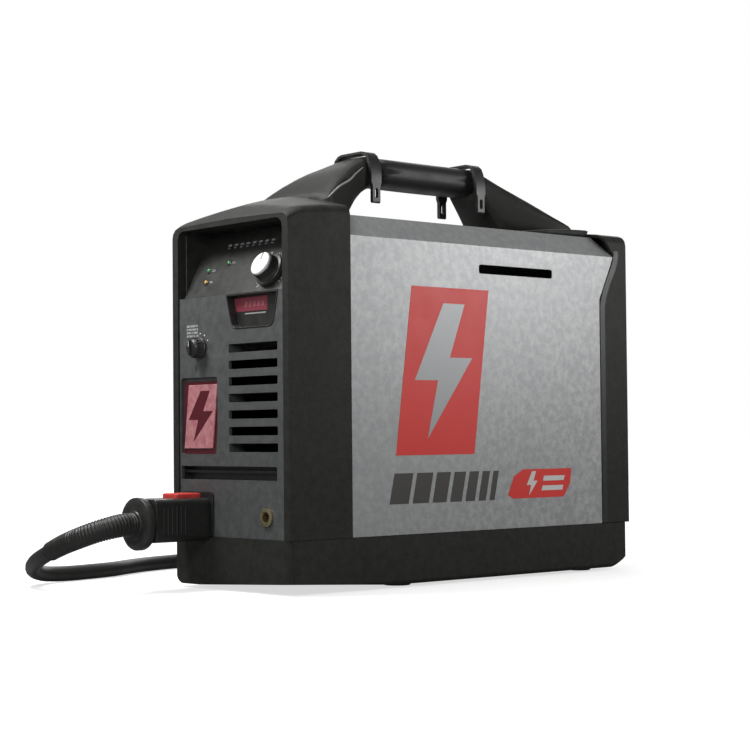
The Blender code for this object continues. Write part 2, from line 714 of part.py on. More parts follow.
def torch_handle():
    x, rear = TORCH_REAR
    centre = TORCH_AXIS_Z
    stations = [
        (0.000, 0.0105, 0.0110),
        (0.012, 0.0120, 0.0135),
        (0.030, 0.0145, 0.0155),
        (0.085, 0.0150, 0.0160),
        (0.120, 0.0150, 0.0155),
        (0.150, 0.0140, 0.0150),
        (0.172, 0.0125, 0.0135),
    ]
    rings = [torch_ring(rear + GAP + along, wide, centre - tall, centre + tall) for along, wide, tall in stations]
    handle = loft("torch_handle", rings, "black_plastic")
    slot = box("trigger_slot", (x - 0.0045, x + 0.0045), (rear + 0.086, rear + 0.137), (centre + 0.0065, centre + 0.03),
               "black_plastic")
    boolean(handle, slot)


def torch_trigger():
    """Pivots at its front end, inside the handle's slot."""
    x, rear = TORCH_REAR
    pivot = Vector((x, rear + 0.1290, TORCH_AXIS_Z + 0.0120))
    outline = rounded([
        (rear + 0.0900, TORCH_AXIS_Z + 0.0190, 0.002),
        (rear + 0.0900, TORCH_AXIS_Z + 0.0145, 0),
        (rear + 0.1250, TORCH_AXIS_Z + 0.0085, 0),
        (rear + 0.1330, TORCH_AXIS_Z + 0.0085, 0.002),
        (rear + 0.1330, TORCH_AXIS_Z + 0.0150, 0.002),
        (rear + 0.1180, TORCH_AXIS_Z + 0.0215, 0.004),
    ])
    trigger = prism("torch_trigger", [outline], "X", x - 0.0042, x + 0.0042, "red_plastic")
    move_origin(trigger, pivot)


def move_origin(obj, place):
    obj.data.transform(Matrix.Translation(-Vector(place)))
    obj.location = place


def torch_head():
    """A head bent down from the handle's end, with its consumables in a stack."""
    x, rear = TORCH_REAR
    root = Vector((x, rear + 0.1742, TORCH_AXIS_Z))
    lean = Vector((0, math.cos(math.radians(8)), math.sin(math.radians(8))))
    neck = [(0.0, 0.0300), (0.0105, 0.0300), (0.0120, 0.0285), (0.0118, 0.0010), (0.0105, 0.0), (0.0, 0.0)]
    place = root.copy()
    for name, profile, length, finish in (
        ("torch_head", neck, 0.0300, "black_plastic"),
        ("torch_retaining_cap", [(0.0, 0.0260), (0.0085, 0.0260), (0.0128, 0.0180), (0.0128, 0.0), (0.0, 0.0)],
         0.0260, "steel"),
        ("torch_shield", [(0.0, 0.0090), (0.0040, 0.0090), (0.0078, 0.0025), (0.0078, 0.0), (0.0, 0.0)],
         0.0090, "copper"),
    ):
        solid_of_revolution(name, profile, place, lean, finish, 20)
        place += lean * (length + GAP)


# Carry handle

def handle_ring(y, half_width, low, high, square=0.62, points=20):
    """A rounded ring across the handle at y."""
    ring = []
    for step in range(points):
        turn = 2 * math.pi * (step + 0.5) / points
        a = math.copysign(abs(math.cos(turn)) ** square, math.cos(turn))
        b = math.copysign(abs(math.sin(turn)) ** square, math.sin(turn))
        ring.append((half_width * a, y, (low + high) / 2 + (high - low) / 2 * b))
    return ring


def handle():
    deck = DECK_Z + GAP
    front = [
        (-0.1424, 0.0540, deck, 0.3425, 0.5),
        (-0.1250, 0.0475, deck, 0.3575, 0.5),
        (-0.1060, 0.0400, deck, 0.3690, 0.5),
        (-0.0930, 0.0325, 0.3350, 0.3742, 0.53),
        (-0.0770, 0.0245, 0.3470, 0.3815, 0.57),
        (-0.0640, 0.0215, 0.3545, 0.3858, 0.6),
        (GRIP_Y[0] - GAP, GRIP_HALF_WIDTH, GRIP_Z[0] - 0.0005, GRIP_Z[1], 0.62),
    ]
    loft("handle_front_post", [handle_ring(*station) for station in front], "charcoal_plastic")
    low, high = GRIP_Z
    span = GRIP_Y[1] - GRIP_Y[0]
    grip = [
        (GRIP_Y[0] + span * part, GRIP_HALF_WIDTH, low - 0.0005 * math.sin(math.pi * part), high)
        for part in (0, 0.33, 0.67, 1)
    ]
    loft("handle_grip", [handle_ring(*station, 0.75) for station in grip], "grip_rubber")
    rear = [
        (GRIP_Y[1] + GAP, GRIP_HALF_WIDTH, GRIP_Z[0] - 0.0010, GRIP_Z[1], 0.62),
        (0.0830, 0.0220, 0.3380, 0.3815, 0.6),
        (0.0960, 0.0255, deck, 0.3755, 0.57),
        (0.1220, 0.0320, deck, 0.3635, 0.53),
        (0.1500, 0.0385, deck, 0.3500, 0.5),
        (0.1769, 0.0430, deck, 0.3370, 0.5),
    ]
    post = loft("handle_rear_post", [handle_ring(*station) for station in rear], "charcoal_plastic")
    flange = [
        [(-half, y, deck), (half, y, deck), (half, y, high - 0.0010), (half - 0.002, y, high),
         (0.002 - half, y, high), (-half, y, high - 0.0010)]
        for y, half, high in ((0.0900, 0.0480, deck + 0.0022), (0.1120, 0.0645, deck + 0.0040), (0.1500, 0.0652, 0.3285),
                              (0.1768, 0.0652, 0.3290))
    ]
    boolean(post, loft("deck_flange", flange, "charcoal_plastic"), "UNION")


def strap_clip(name, y):
    """A saddle over the grip with a slotted lug hanging at each side."""
    low, high = GRIP_Z
    outer_half = GRIP_HALF_WIDTH + 0.0082
    inner_half = GRIP_HALF_WIDTH + 0.0046
    lug_foot = 0.3405
    outline = rounded([
        (outer_half, lug_foot, 0.0018),
        (outer_half, high - 0.0190, 0),
        (outer_half - 0.0050, high + 0.0030, 0.0120),
        (0.0050 - outer_half, high + 0.0030, 0.0120),
        (-outer_half, high - 0.0190, 0),
        (-outer_half, lug_foot, 0.0018),
        (-inner_half, lug_foot, 0.0018),
        (-inner_half, high - 0.0190, 0),
        (0.0045 - inner_half, high + 0.0008, 0.0090),
        (inner_half - 0.0045, high + 0.0008, 0.0090),
        (inner_half, high - 0.0190, 0),
        (inner_half, lug_foot, 0.0018),
    ])
    clip = prism(name, [outline], "Y", y - 0.0060, y + 0.0060, "black_plastic")
    for side, label in ((1, "right"), (-1, "left")):
        for edge, word in ((1, "back"), (-1, "front")):
            taper = [
                (y + edge * 0.0045, 0.30),
                (y + edge * 0.0045, 0.3560),
                (y + edge * 0.0100, 0.3690),
                (y + edge * 0.02, 0.3690),
                (y + edge * 0.02, 0.30),
            ]
            boolean(clip, prism(f"{name}_{label}_{word}_taper", [taper], "X",
                                *sorted((side * 0.015, side * 0.04)), "black_plastic"))
        slot = rectangle((y - 0.0018, y + 0.0018), (0.3450, 0.3540), 0.0015)
        boolean(clip, prism(f"{name}_{label}_slot", [slot], "X", *sorted((side * 0.015, side * 0.04)), "black_plastic"))


# Back

def rear_panel():
    edge = 0.0765
    outline = rectangle((-edge, edge), (TRAY_TOP_Z + GAP, 0.3100), 0.002)
    holes = [
        circle(FAN_CENTRE[0], FAN_CENTRE[1], FAN_RADIUS + 0.001, 32),
        rectangle((-0.0600, -0.0380), (0.2550, 0.2850), 0.001),
        circle(0.050, 0.2700, 0.0092),
        circle(0.050, 0.0750, 0.0062, 16),
    ]
    prism("rear_panel", [outline] + holes, "Y", 0.2000, 0.2027, "panel_plastic")


def power_switch():
    frame = prism("switch_frame", [rectangle((-0.0620, -0.0360), (0.2530, 0.2870), 0.001),
                                   rectangle((-0.0575, -0.0405), (0.2575, 0.2825), 0.0005)],
                  "Y", 0.2030, 0.2050, "black_plastic")
    bevel(frame, 0.0004, 1)
    outline = [(0.1960, 0.2590), (0.2080, 0.2582), (0.2062, 0.2700), (0.2040, 0.2815), (0.1960, 0.2810)]
    rocker = prism("switch_rocker", [outline], "X", -0.0568, -0.0412, "red_plastic")
    move_origin(rocker, (-0.0490, 0.1990, 0.2700))


def rear_fittings():
    profile = [(0.0, 0.0140), (0.0085, 0.0140), (0.0105, 0.0110), (0.0125, 0.0020), (0.0125, 0.0005), (0.0088, 0.0005),
               (0.0088, -0.0120), (0.0, -0.0120)]
    gland = solid_of_revolution("power_cord_gland", profile, (0.050, 0.2027, 0.2700), (0, 1, 0), "black_plastic")
    boolean(gland, cylinder("cord_way", (0.050, 0.2100, 0.2700), (0, 1, 0), 0.0058, 0.05, "black_plastic", 16))
    profile = [(0.0, 0.0198), (0.0045, 0.0198), (0.0050, 0.0185), (0.0050, 0.0110), (0.0078, 0.0105), (0.0078, 0.0005),
               (0.0059, 0.0005), (0.0059, -0.0100), (0.0, -0.0100)]
    solid_of_revolution("gas_inlet_fitting", profile, (0.050, 0.2027, 0.0750), (0, 1, 0), "brass", 16)


def fan():
    x, z = FAN_CENTRE
    half = FAN_RADIUS + 0.0045
    prism("fan_frame", [rectangle((x - half, x + half), (z - half, z + half), 0.004),
                        circle(x, z, FAN_RADIUS, 32)], "Y", 0.1745, 0.1995, "black_plastic")
    hub = cylinder("fan_rotor", (x, 0.1870, z), (0, 1, 0), 0.0180, 0.0180, "black_plastic")
    blade_count = 7
    for index in range(blade_count):
        blade = box(f"fan_blade_{index + 1}", (0.0150, FAN_RADIUS - 0.0020), (-0.0008, 0.0008), (-0.0090, 0.0090),
                    "black_plastic")
        turn = Matrix.Rotation(2 * math.pi * index / blade_count, 4, "Y")
        pitch = Matrix.Rotation(math.radians(52), 4, "X")
        blade.data.transform(Matrix.Translation((x, 0.1870, z)) @ turn @ pitch)
        boolean(hub, blade, "UNION")
    rings = [circle(x, z, FAN_RADIUS + 0.004, 32), circle(x, z, FAN_RADIUS - 0.001, 32)]
    guard = prism("fan_guard", rings, "Y", 0.2030, 0.2046, "steel")
    for radius in (0.033, 0.020):
        hoop = prism(f"guard_hoop_{radius * 1000:.0f}", [circle(x, z, radius), circle(x, z, radius - 0.002)],
                     "Y", 0.2031, 0.2045, "steel")
        boolean(guard, hoop, "UNION")
    for label, turn in (("wide", 0.0), ("tall", math.pi / 2)):
        spoke = box(f"guard_spoke_{label}", (-FAN_RADIUS - 0.001, FAN_RADIUS + 0.001), (0.2032, 0.2044),
                    (-0.0012, 0.0012), "steel")
        spoke.data.transform(Matrix.Translation((x, 0, z)) @ Matrix.Rotation(turn, 4, "Y"))
        boolean(guard, spoke, "UNION")


def port_cover():
    box("interface_port_cover", (-0.0640, -0.0300), (0.2030, 0.2050), (0.0620, 0.0900), "black_plastic", 0.0008)


# Inside

def inside_parts():
    chassis = box("chassis_plate", (0.0160, 0.0176), (-0.1450, 0.1650), (0.0135, 0.3000), "aluminium")
    window = prism("chassis_window", [rectangle((-0.060, 0.020), (0.030, 0.090), 0.006)], "X", 0.0, 0.03, "aluminium")
    boolean(chassis, window)
    heatsink = box("heatsink", (-0.0400, 0.0157), (-0.0900, 0.0900), (0.1200, 0.2000), "aluminium")
    for row in range(6):
        low = 0.1270 + 0.0120 * row
        boolean(heatsink, box(f"fin_gap_{row + 1}", (-0.0500, 0.0080), (-0.1, 0.1), (low, low + 0.0075), "aluminium"))
    box("power_board", (0.0179, 0.0195), (-0.1100, 0.1200), (0.1050, 0.2850), "board_green")
    box("control_board", (-0.0600, 0.0120), (-0.1680, -0.1664), (0.2250, 0.3050), "board_green")
    bevel(box("transformer", (-0.0550, 0.0150), (-0.1000, -0.0250), (0.0140, 0.0900), "core_grey"), 0.004)
    cylinder("output_inductor", (-0.0200, 0.0300, 0.0400), (0, 0, 1), 0.0300, 0.0500, "copper", 20)
    for number, y in enumerate((-0.060, 0.000), 1):
        cylinder(f"capacitor_{number}", (0.0450, y, 0.1600), (1, 0, 0), 0.0170, 0.0505, "core_grey", 16)
    body = box("solenoid_valve", (0.0300, 0.0560), (0.0900, 0.1200), (0.0140, 0.0400), "brass")
    coil = cylinder("solenoid_coil", (0.0430, 0.1050, 0.0500), (0, 0, 1), 0.0120, 0.0240, "black_plastic", 16)
    boolean(body, coil, "UNION")
    bowl = [(0.0, 0.0), (0.0165, 0.0), (0.0165, -0.0400), (0.0100, -0.0460), (0.0, -0.0460)]
    solid_of_revolution("filter_bowl", bowl, (0.0500, 0.1500, 0.0980), (0, 0, 1), "clear_bowl", 20)
    box("filter_regulator", (0.0330, 0.0670), (0.1320, 0.1660), (0.0983, 0.1350), "aluminium", 0.002)
    route = [(0.0430, 0.0897, 0.0250), (0.0430, 0.0000, 0.0250), (0.0420, -0.1000, 0.0260), (0.0360, -0.1350, 0.0310),
             (0.0160, -0.1570, 0.0440), (-0.0150, -0.1600, 0.0560), (-0.0430, -0.1660, 0.0635), (-0.0475, -0.1850, 0.0645)]
    tube("gas_tube", route, 0.0030, "cable_rubber", 0.018)


front_cap()
side_cover()
rear_cap()
base_tray()
feet()
front_panel()
louvre_grille()
recess_plates()
display_bezel()
control_panel()
current_knob()
mode_knob()
work_socket()
torch_receptacle()
torch_plug()
torch_lead()
torch_handle()
torch_trigger()
torch_head()
handle()
strap_clip("front_strap_clip", CLIP_Y[0])
strap_clip("rear_strap_clip", CLIP_Y[1])
rear_panel()
power_switch()
rear_fittings()
fan()
port_cover()
inside_parts()
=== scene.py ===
import json
import math

import bmesh
import bpy
from mathutils import Matrix, Vector


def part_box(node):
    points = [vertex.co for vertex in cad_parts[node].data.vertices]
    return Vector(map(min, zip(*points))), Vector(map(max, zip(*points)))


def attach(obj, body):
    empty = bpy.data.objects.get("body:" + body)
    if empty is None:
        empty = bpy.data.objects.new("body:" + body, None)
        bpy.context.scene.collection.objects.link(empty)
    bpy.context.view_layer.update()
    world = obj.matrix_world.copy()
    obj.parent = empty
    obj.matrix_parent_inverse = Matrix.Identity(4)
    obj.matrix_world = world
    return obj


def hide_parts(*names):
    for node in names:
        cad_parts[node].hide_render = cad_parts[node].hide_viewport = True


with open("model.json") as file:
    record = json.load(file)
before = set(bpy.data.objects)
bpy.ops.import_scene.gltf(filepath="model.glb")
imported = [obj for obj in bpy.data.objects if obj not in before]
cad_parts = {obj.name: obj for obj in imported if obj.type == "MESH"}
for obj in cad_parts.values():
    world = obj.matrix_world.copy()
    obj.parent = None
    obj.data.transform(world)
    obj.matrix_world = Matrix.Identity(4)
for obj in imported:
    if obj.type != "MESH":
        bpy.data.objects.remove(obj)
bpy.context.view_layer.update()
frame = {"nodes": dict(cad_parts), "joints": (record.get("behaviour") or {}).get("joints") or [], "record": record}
record = frame["record"]
bodyOf = {node: body for body, nodes in record["behaviour"]["bodies"].items() for node in nodes}
slotOf = {row["node"]: row["material_slot"] for row in record["subparts"]}
machine = bodyOf["front_cap"]
print("frame loaded")


# materials

def addNode(tree, kind, settings=None, **inputs):
    made = tree.nodes.new(kind)
    for key, value in (settings or {}).items():
        setattr(made, key, value)
    for key, value in inputs.items():
        numbered = key[0] == "n" and key[1:].isdigit()
        socket = made.inputs[int(key[1:]) if numbered else key]
        if hasattr(value, "is_output"):
            tree.links.new(value, socket)
        else:
            socket.default_value = value
    return made


def newMaterial(name):
    made = bpy.data.materials.new(name)
    made.use_nodes = True
    tree = made.node_tree
    where = tree.nodes.new("ShaderNodeTexCoord").outputs["Object"]
    return made, tree, tree.nodes["Principled BSDF"], where


def wired(tree, shader, colour, roughness=None, normal=None):
    for name, value in (("Base Color", colour), ("Roughness", roughness), ("Normal", normal)):
        if value is not None:
            tree.links.new(value, shader.inputs[name])


def noiseAt(tree, where, scale, detail=2.0, roughness=0.5):
    made = addNode(tree, "ShaderNodeTexNoise", Vector=where, Scale=scale, Detail=detail, Roughness=roughness)
    return made.outputs["Fac"]


def spread(tree, value, low, high, fromLow=0.3, fromHigh=0.7):
    ranged = addNode(tree, "ShaderNodeMapRange", {"clamp": True}, n0=value, n1=fromLow, n2=fromHigh, n3=low, n4=high)
    return ranged.outputs[0]


def mixed(tree, amount, first, second):
    made = tree.nodes.new("ShaderNodeMix")
    made.data_type = "RGBA"
    for socket, value in ((made.inputs[0], amount), (made.inputs[6], first), (made.inputs[7], second)):
        if hasattr(value, "is_output"):
            tree.links.new(value, socket)
        elif isinstance(value, tuple):
            socket.default_value = (*value, 1.0)
        else:
            socket.default_value = value
    return made.outputs[2]


def times(tree, first, second, operation="MULTIPLY"):
    return addNode(tree, "ShaderNodeMath", {"operation": operation}, n0=first, n1=second).outputs[0]


def shaded(colour, share):
    return tuple(min(1.0, c * share) for c in colour)


def rubbedEdges(tree, where, scale, *limits):
    # how far the paint or the skin is rubbed, from the edges that the mesh marks
    edge = addNode(tree, "ShaderNodeAttribute", {"attribute_name": "edgeWear"}).outputs["Fac"]
    return times(tree, edge, spread(tree, noiseAt(tree, where, scale, 4.0, 0.7), *limits))


def bumped(tree, height, depth, strength=1.0, under=None):
    made = addNode(tree, "ShaderNodeBump", Height=height, Distance=depth, Strength=strength)
    if under is not None:
        tree.links.new(under, made.inputs["Normal"])
    return made.outputs["Normal"]


# Moulded plastic: a fine spark-eroded grain, cloudy colour, and paler edges where the mesh marks them.
def mouldedPlastic(name, colour, roughness, grain, depth, cloud, edgeColour=None, gloss=0.5):
    made, tree, shader, where = newMaterial(name)
    fine = noiseAt(tree, where, grain, 3.0, 0.6)
    pores = noiseAt(tree, where, grain * 0.35, 1.0)
    patches = noiseAt(tree, where, 14.0, 4.0, 0.6)
    paler = tuple(min(1.0, c * (1 + cloud) + 0.004) for c in colour)
    base = mixed(tree, spread(tree, patches, 0.0, 1.0), shaded(colour, 1 - cloud), paler)
    base = mixed(tree, spread(tree, fine, 0.0, 0.35), base, shaded(colour, 0.72))
    rubbed = rubbedEdges(tree, where, 120.0, 0.05, 1.0, 0.35, 0.62)
    worn = edgeColour or tuple(min(1.0, c * 2.2 + 0.03) for c in colour)
    base = mixed(tree, times(tree, rubbed, 0.55), base, worn)
    dust = spread(tree, noiseAt(tree, where, 45.0, 5.0, 0.65), -0.025, 0.03)
    normal = bumped(tree, pores, depth * 1.6, 0.5)
    wired(tree, shader, base, times(tree, dust, roughness, "ADD"), bumped(tree, fine, depth, 0.45, normal))
    shader.inputs["Specular IOR Level"].default_value = gloss
    return made


# Sheet metal paint with a fine metallic flake and the faint orange peel of powder coat.
def flakePaint(name, colour, roughness, metallic):
    made, tree, shader, where = newMaterial(name)
    flakes = addNode(tree, "ShaderNodeTexVoronoi", Vector=where, Scale=2600.0).outputs["Color"]
    flake = addNode(tree, "ShaderNodeSeparateColor", Color=flakes).outputs[0]
    cloud = noiseAt(tree, where, 5.0, 2.0)
    base = mixed(tree, spread(tree, cloud, 0.0, 1.0), shaded(colour, 0.985), shaded(colour, 1.015))
    base = mixed(tree, spread(tree, flake, 0.0, 0.07, 0.0, 1.0), base, shaded(colour, 1.6))
    base = mixed(tree, rubbedEdges(tree, where, 150.0, 0.0, 0.5, 0.4, 0.65), base, (0.62, 0.62, 0.61))
    scuffs = noiseAt(tree, where, 60.0, 5.0, 0.7)
    peel = noiseAt(tree, where, 420.0, 1.0)
    normal = bumped(tree, peel, 0.00003, 0.30)
    wired(tree, shader, base, spread(tree, scuffs, roughness - 0.008, roughness + 0.012),
          bumped(tree, flake, 0.00001, 0.10, normal))
    shader.inputs["Metallic"].default_value = metallic
    return made


# Rubber and cable jacket: matt, slightly blotchy, with a faint bloom.
def softRubber(name, colour, roughness, grain=700.0, depth=0.00016, bloom=0.14):
    made, tree, shader, where = newMaterial(name)
    fine = noiseAt(tree, where, grain, 4.0, 0.65)
    patches = noiseAt(tree, where, 22.0, 5.0, 0.7)
    base = mixed(tree, spread(tree, patches, 0.0, bloom), colour, (0.20, 0.195, 0.18))
    base = mixed(tree, spread(tree, fine, 0.0, 0.4), base, shaded(colour, 0.6))
    wired(tree, shader, base, spread(tree, patches, roughness + 0.06, roughness - 0.10),
          bumped(tree, fine, depth, 0.8))
    return made


# Machined or drawn metal: brushing stretched along one direction, with dull spots.
def workedMetal(name, colour, roughness, stretch=(1.0, 1.0, 1.0), tarnish=0.25):
    made, tree, shader, where = newMaterial(name)
    along = addNode(tree, "ShaderNodeMapping", Vector=where, Scale=stretch).outputs[0]
    lines = noiseAt(tree, along, 900.0, 3.0, 0.6)
    spots = noiseAt(tree, where, 85.0, 5.0, 0.7)
    base = mixed(tree, spread(tree, spots, 0.0, tarnish, 0.45, 0.7), colour, shaded(colour, 0.45))
    wired(tree, shader, base, spread(tree, spots, roughness - 0.06, roughness + 0.14),
          bumped(tree, lines, 0.00004, 0.5))
    shader.inputs["Metallic"].default_value = 1.0
    return made


def clearBowl(name):
    made, tree, shader, where = newMaterial(name)
    haze = noiseAt(tree, where, 60.0, 4.0)
    base = mixed(tree, spread(tree, haze, 0.0, 1.0), (0.62, 0.70, 0.76), (0.80, 0.86, 0.90))
    wired(tree, shader, base, spread(tree, haze, 0.08, 0.22))
    shader.inputs["Transmission Weight"].default_value = 0.8
    shader.inputs["IOR"].default_value = 1.49
    return made


def circuitBoard(name):
    made, tree, shader, where = newMaterial(name)
    tracks = addNode(tree, "ShaderNodeTexBrick", Vector=where, Scale=60.0).outputs["Fac"]
    cloud = noiseAt(tree, where, 40.0, 3.0)
    base = mixed(tree, tracks, (0.015, 0.13, 0.05), (0.03, 0.24, 0.09))
    base = mixed(tree, spread(tree, cloud, 0.0, 0.4), base, (0.01, 0.08, 0.03))
    wired(tree, shader, base, spread(tree, cloud, 0.35, 0.5), bumped(tree, tracks, 0.0001, 0.5))
    return made


smooth = {"grain": 1500.0, "depth": 0.00005}
printed = {"grain": 1600.0, "depth": 0.00003}
lens = {"roughness": 0.18, "grain": 1600.0, "depth": 0.00002, "cloud": 0.1}
finishes = {
    "charcoal_plastic": mouldedPlastic("charcoal moulding", (0.0165, 0.0165, 0.0148), 0.50, grain=1100.0,
                                       depth=0.00012, cloud=0.06, edgeColour=(0.07, 0.07, 0.063), gloss=0.18),
    "panel_plastic": mouldedPlastic("grey front moulding", (0.056, 0.0585, 0.0590), 0.46, grain=1000.0, depth=0.00010,
                                    cloud=0.03, gloss=0.4),
    "black_plastic": mouldedPlastic("black moulding", (0.013, 0.013, 0.0127), 0.36, grain=1300.0, depth=0.00010,
                                    cloud=0.15, edgeColour=(0.06, 0.06, 0.055), gloss=0.45),
    "grip_rubber": softRubber("grip rubber", (0.009, 0.009, 0.0083), 0.50, bloom=0.04),
    "cover_paint": flakePaint("silver grey paint", (0.30, 0.305, 0.31), 0.40, metallic=0.35),
    "red_plastic": mouldedPlastic("red moulding", (0.55, 0.020, 0.018), 0.36, cloud=0.08, edgeColour=(0.9, 0.25, 0.2),
                                  **smooth),
    "pale_plastic": mouldedPlastic("pale moulding", (0.66, 0.69, 0.66), 0.34, cloud=0.05, edgeColour=(0.9, 0.9, 0.9),
                                   **smooth),
    "cable_rubber": softRubber("cable jacket", (0.011, 0.011, 0.0102), 0.50, grain=480.0, depth=0.00020, bloom=0.05),
    "brass": workedMetal("turned brass", (0.88, 0.76, 0.48), 0.26, stretch=(1.0, 0.15, 1.0)),
    "copper": workedMetal("drawn copper", (0.78, 0.40, 0.24), 0.30, stretch=(1.0, 1.0, 0.15)),
    "steel": workedMetal("bright steel", (0.58, 0.58, 0.59), 0.30, stretch=(0.2, 1.0, 0.2)),
    "aluminium": workedMetal("mill aluminium", (0.74, 0.75, 0.77), 0.38, stretch=(1.0, 0.1, 1.0), tarnish=0.15),
    "board_green": circuitBoard("circuit board"),
    "core_grey": mouldedPlastic("core varnish", (0.10, 0.10, 0.11), 0.5, grain=500.0, depth=0.0003, cloud=0.2),
    "clear_bowl": clearBowl("clear bowl"),
}
inks = {
    "red": mouldedPlastic("red print", (0.80, 0.022, 0.012), 0.42, cloud=0.04, edgeColour=(0.9, 0.1, 0.08), **printed),
    "dark": mouldedPlastic("dark print", (0.045, 0.042, 0.038), 0.45, cloud=0.06, **printed),
    "white": mouldedPlastic("white print", (0.72, 0.73, 0.71), 0.40, cloud=0.03, edgeColour=(0.8, 0.8, 0.8),
                            **printed),
    "grey": mouldedPlastic("grey print", (0.30, 0.31, 0.31), 0.45, cloud=0.05, **printed),
    "rose": mouldedPlastic("rose print", (0.24, 0.040, 0.062), 0.42, 1500.0, 0.00003, cloud=0.05),
    "pink": mouldedPlastic("pale pink moulding", (0.36, 0.105, 0.125), 0.36, cloud=0.05, edgeColour=(0.9, 0.6, 0.6),
                           **smooth),
    "maroon": mouldedPlastic("deep red moulding", (0.090, 0.006, 0.013), 0.34, cloud=0.12, **smooth),
    "green": mouldedPlastic("green lens", (0.045, 0.22, 0.08), **lens),
    "amber": mouldedPlastic("amber lens", (0.40, 0.21, 0.04), **lens),
}


def coloured(mesh, material):
    mesh.materials.clear()
    mesh.materials.append(material)


for nodeName, nodeObject in frame["nodes"].items():
    coloured(nodeObject.data, finishes[slotOf[nodeName]])
print("materials made")


# pieces

mergeGap = 0.00001
squareTurn = {"over": 75, "crease": 0.85}


def linked(name, mesh):
    made = bpy.data.objects.new(name, mesh)
    bpy.context.scene.collection.objects.link(made)
    return made


def meshFrom(edit, name):
    mesh = bpy.data.meshes.new(name)
    edit.to_mesh(mesh)
    edit.free()
    return mesh


def own(slot, body=machine):
    return finishes[slot], body, slot


def bridged(edit, rings, closed=True):
    # faces between each row of points and the next
    for here, there in zip(rings, rings[1:]):
        count = len(here)
        for k in range(count if closed else count - 1):
            after = (k + 1) % count
            edit.faces.new((here[k], here[after], there[after], there[k]))


def placed(piece, body, slot, *nodes):
    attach(piece, body)
    if nodes:
        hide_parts(*nodes)
    return piece


def settled(piece):
    # the evaluated shape becomes a plain mesh and the modifiers go
    bpy.context.view_layer.update()
    mesh = bpy.data.meshes.new_from_object(piece.evaluated_get(bpy.context.evaluated_depsgraph_get()))
    piece.modifiers.clear()
    old = piece.data
    piece.data = mesh
    bpy.data.meshes.remove(old)
    return piece


def smoothed(mesh, sharpAngle):
    mesh.shade_smooth()
    mesh.set_sharp_from_angle(angle=math.radians(sharpAngle))


def markEdges(mesh, sharpest=0.9):
    # the steeper the turn between two faces at a point, the more that point is rubbed
    edit = bmesh.new()
    edit.from_mesh(mesh)
    edit.verts.ensure_lookup_table()
    amounts = []
    for vert in edit.verts:
        turns = [edge.calc_face_angle(0.0) for edge in vert.link_edges if edge.is_manifold]
        amounts.append(min(1.0, max(turns, default=0.0) / sharpest))
    edit.free()
    layer = mesh.attributes.new("edgeWear", "FLOAT", "POINT")
    layer.data.foreach_set("value", amounts)


def cleanedCopy(node, flatAngle):
    # the node's solid as an editable mesh, with the cuts across its flat faces dissolved
    mesh = frame["nodes"][node].data.copy()
    edit = bmesh.new()
    edit.from_mesh(mesh)
    bmesh.ops.remove_doubles(edit, verts=edit.verts, dist=mergeGap)
    bmesh.ops.dissolve_limit(edit, angle_limit=math.radians(flatAngle), verts=edit.verts, edges=edit.edges)
    return mesh, edit


def finished(piece, node):
    coloured(piece.data, finishes[slotOf[node]])
    return placed(piece, bodyOf[node], slotOf[node], node)


def softened(node, width, segments, angle):
    # a copy of the node's solid with its edges rounded
    mesh, edit = cleanedCopy(node, 0.6)
    edit.to_mesh(mesh)
    edit.free()
    piece = linked(node + "_finished", mesh)
    rounding = piece.modifiers.new("rounding", "BEVEL")
    rounding.width = width
    rounding.segments = segments
    rounding.limit_method = "ANGLE"
    rounding.angle_limit = math.radians(angle)
    rounding.use_clamp_overlap = True
    rounding.miter_outer = "MITER_ARC"
    settled(piece)
    markEdges(piece.data)
    smoothed(piece.data, 40)
    evener = piece.modifiers.new("normals", "WEIGHTED_NORMAL")
    evener.keep_sharp = True
    settled(piece)
    return finished(piece, node)


def subdivided(node, levels=2, crease=0.0, creaseAngle=40):
    # a copy of a coarse loft, rounded all over
    mesh, edit = cleanedCopy(node, 0.2)
    layer = edit.edges.layers.float.new("crease_edge")
    for edge in edit.edges:
        turn = edge.calc_face_angle(0.0)
        if turn > math.radians(squareTurn["over"]):
            edge[layer] = squareTurn["crease"]
        elif turn > math.radians(creaseAngle):
            edge[layer] = crease
    edit.to_mesh(mesh)
    edit.free()
    piece = linked(node + "_finished", mesh)
    smoothing = piece.modifiers.new("smoothing", "SUBSURF")
    smoothing.levels = levels
    smoothing.render_levels = levels
    settled(piece)
    markEdges(piece.data, 0.5)
    smoothed(piece.data, 50)
    return finished(piece, node)


def catmull(points, spacing):
    points = [Vector(point) for point in points]
    ends = [points[0] * 2 - points[1]] + points + [points[-1] * 2 - points[-2]]
    path = [points[0]]
    for a, b, c, d in zip(ends, ends[1:], ends[2:], ends[3:]):
        steps = max(1, round((c - b).length / spacing))
        for step in range(1, steps + 1):
            t = step / steps
            path.append(0.5 * (2 * b + (c - a) * t + (2 * a - 5 * b + 4 * c - d) * t * t
                               + (3 * b - a - 3 * c + d) * t ** 3))
    return path


def lengthOf(path):
    return sum((b - a).length for a, b in zip(path, path[1:]))


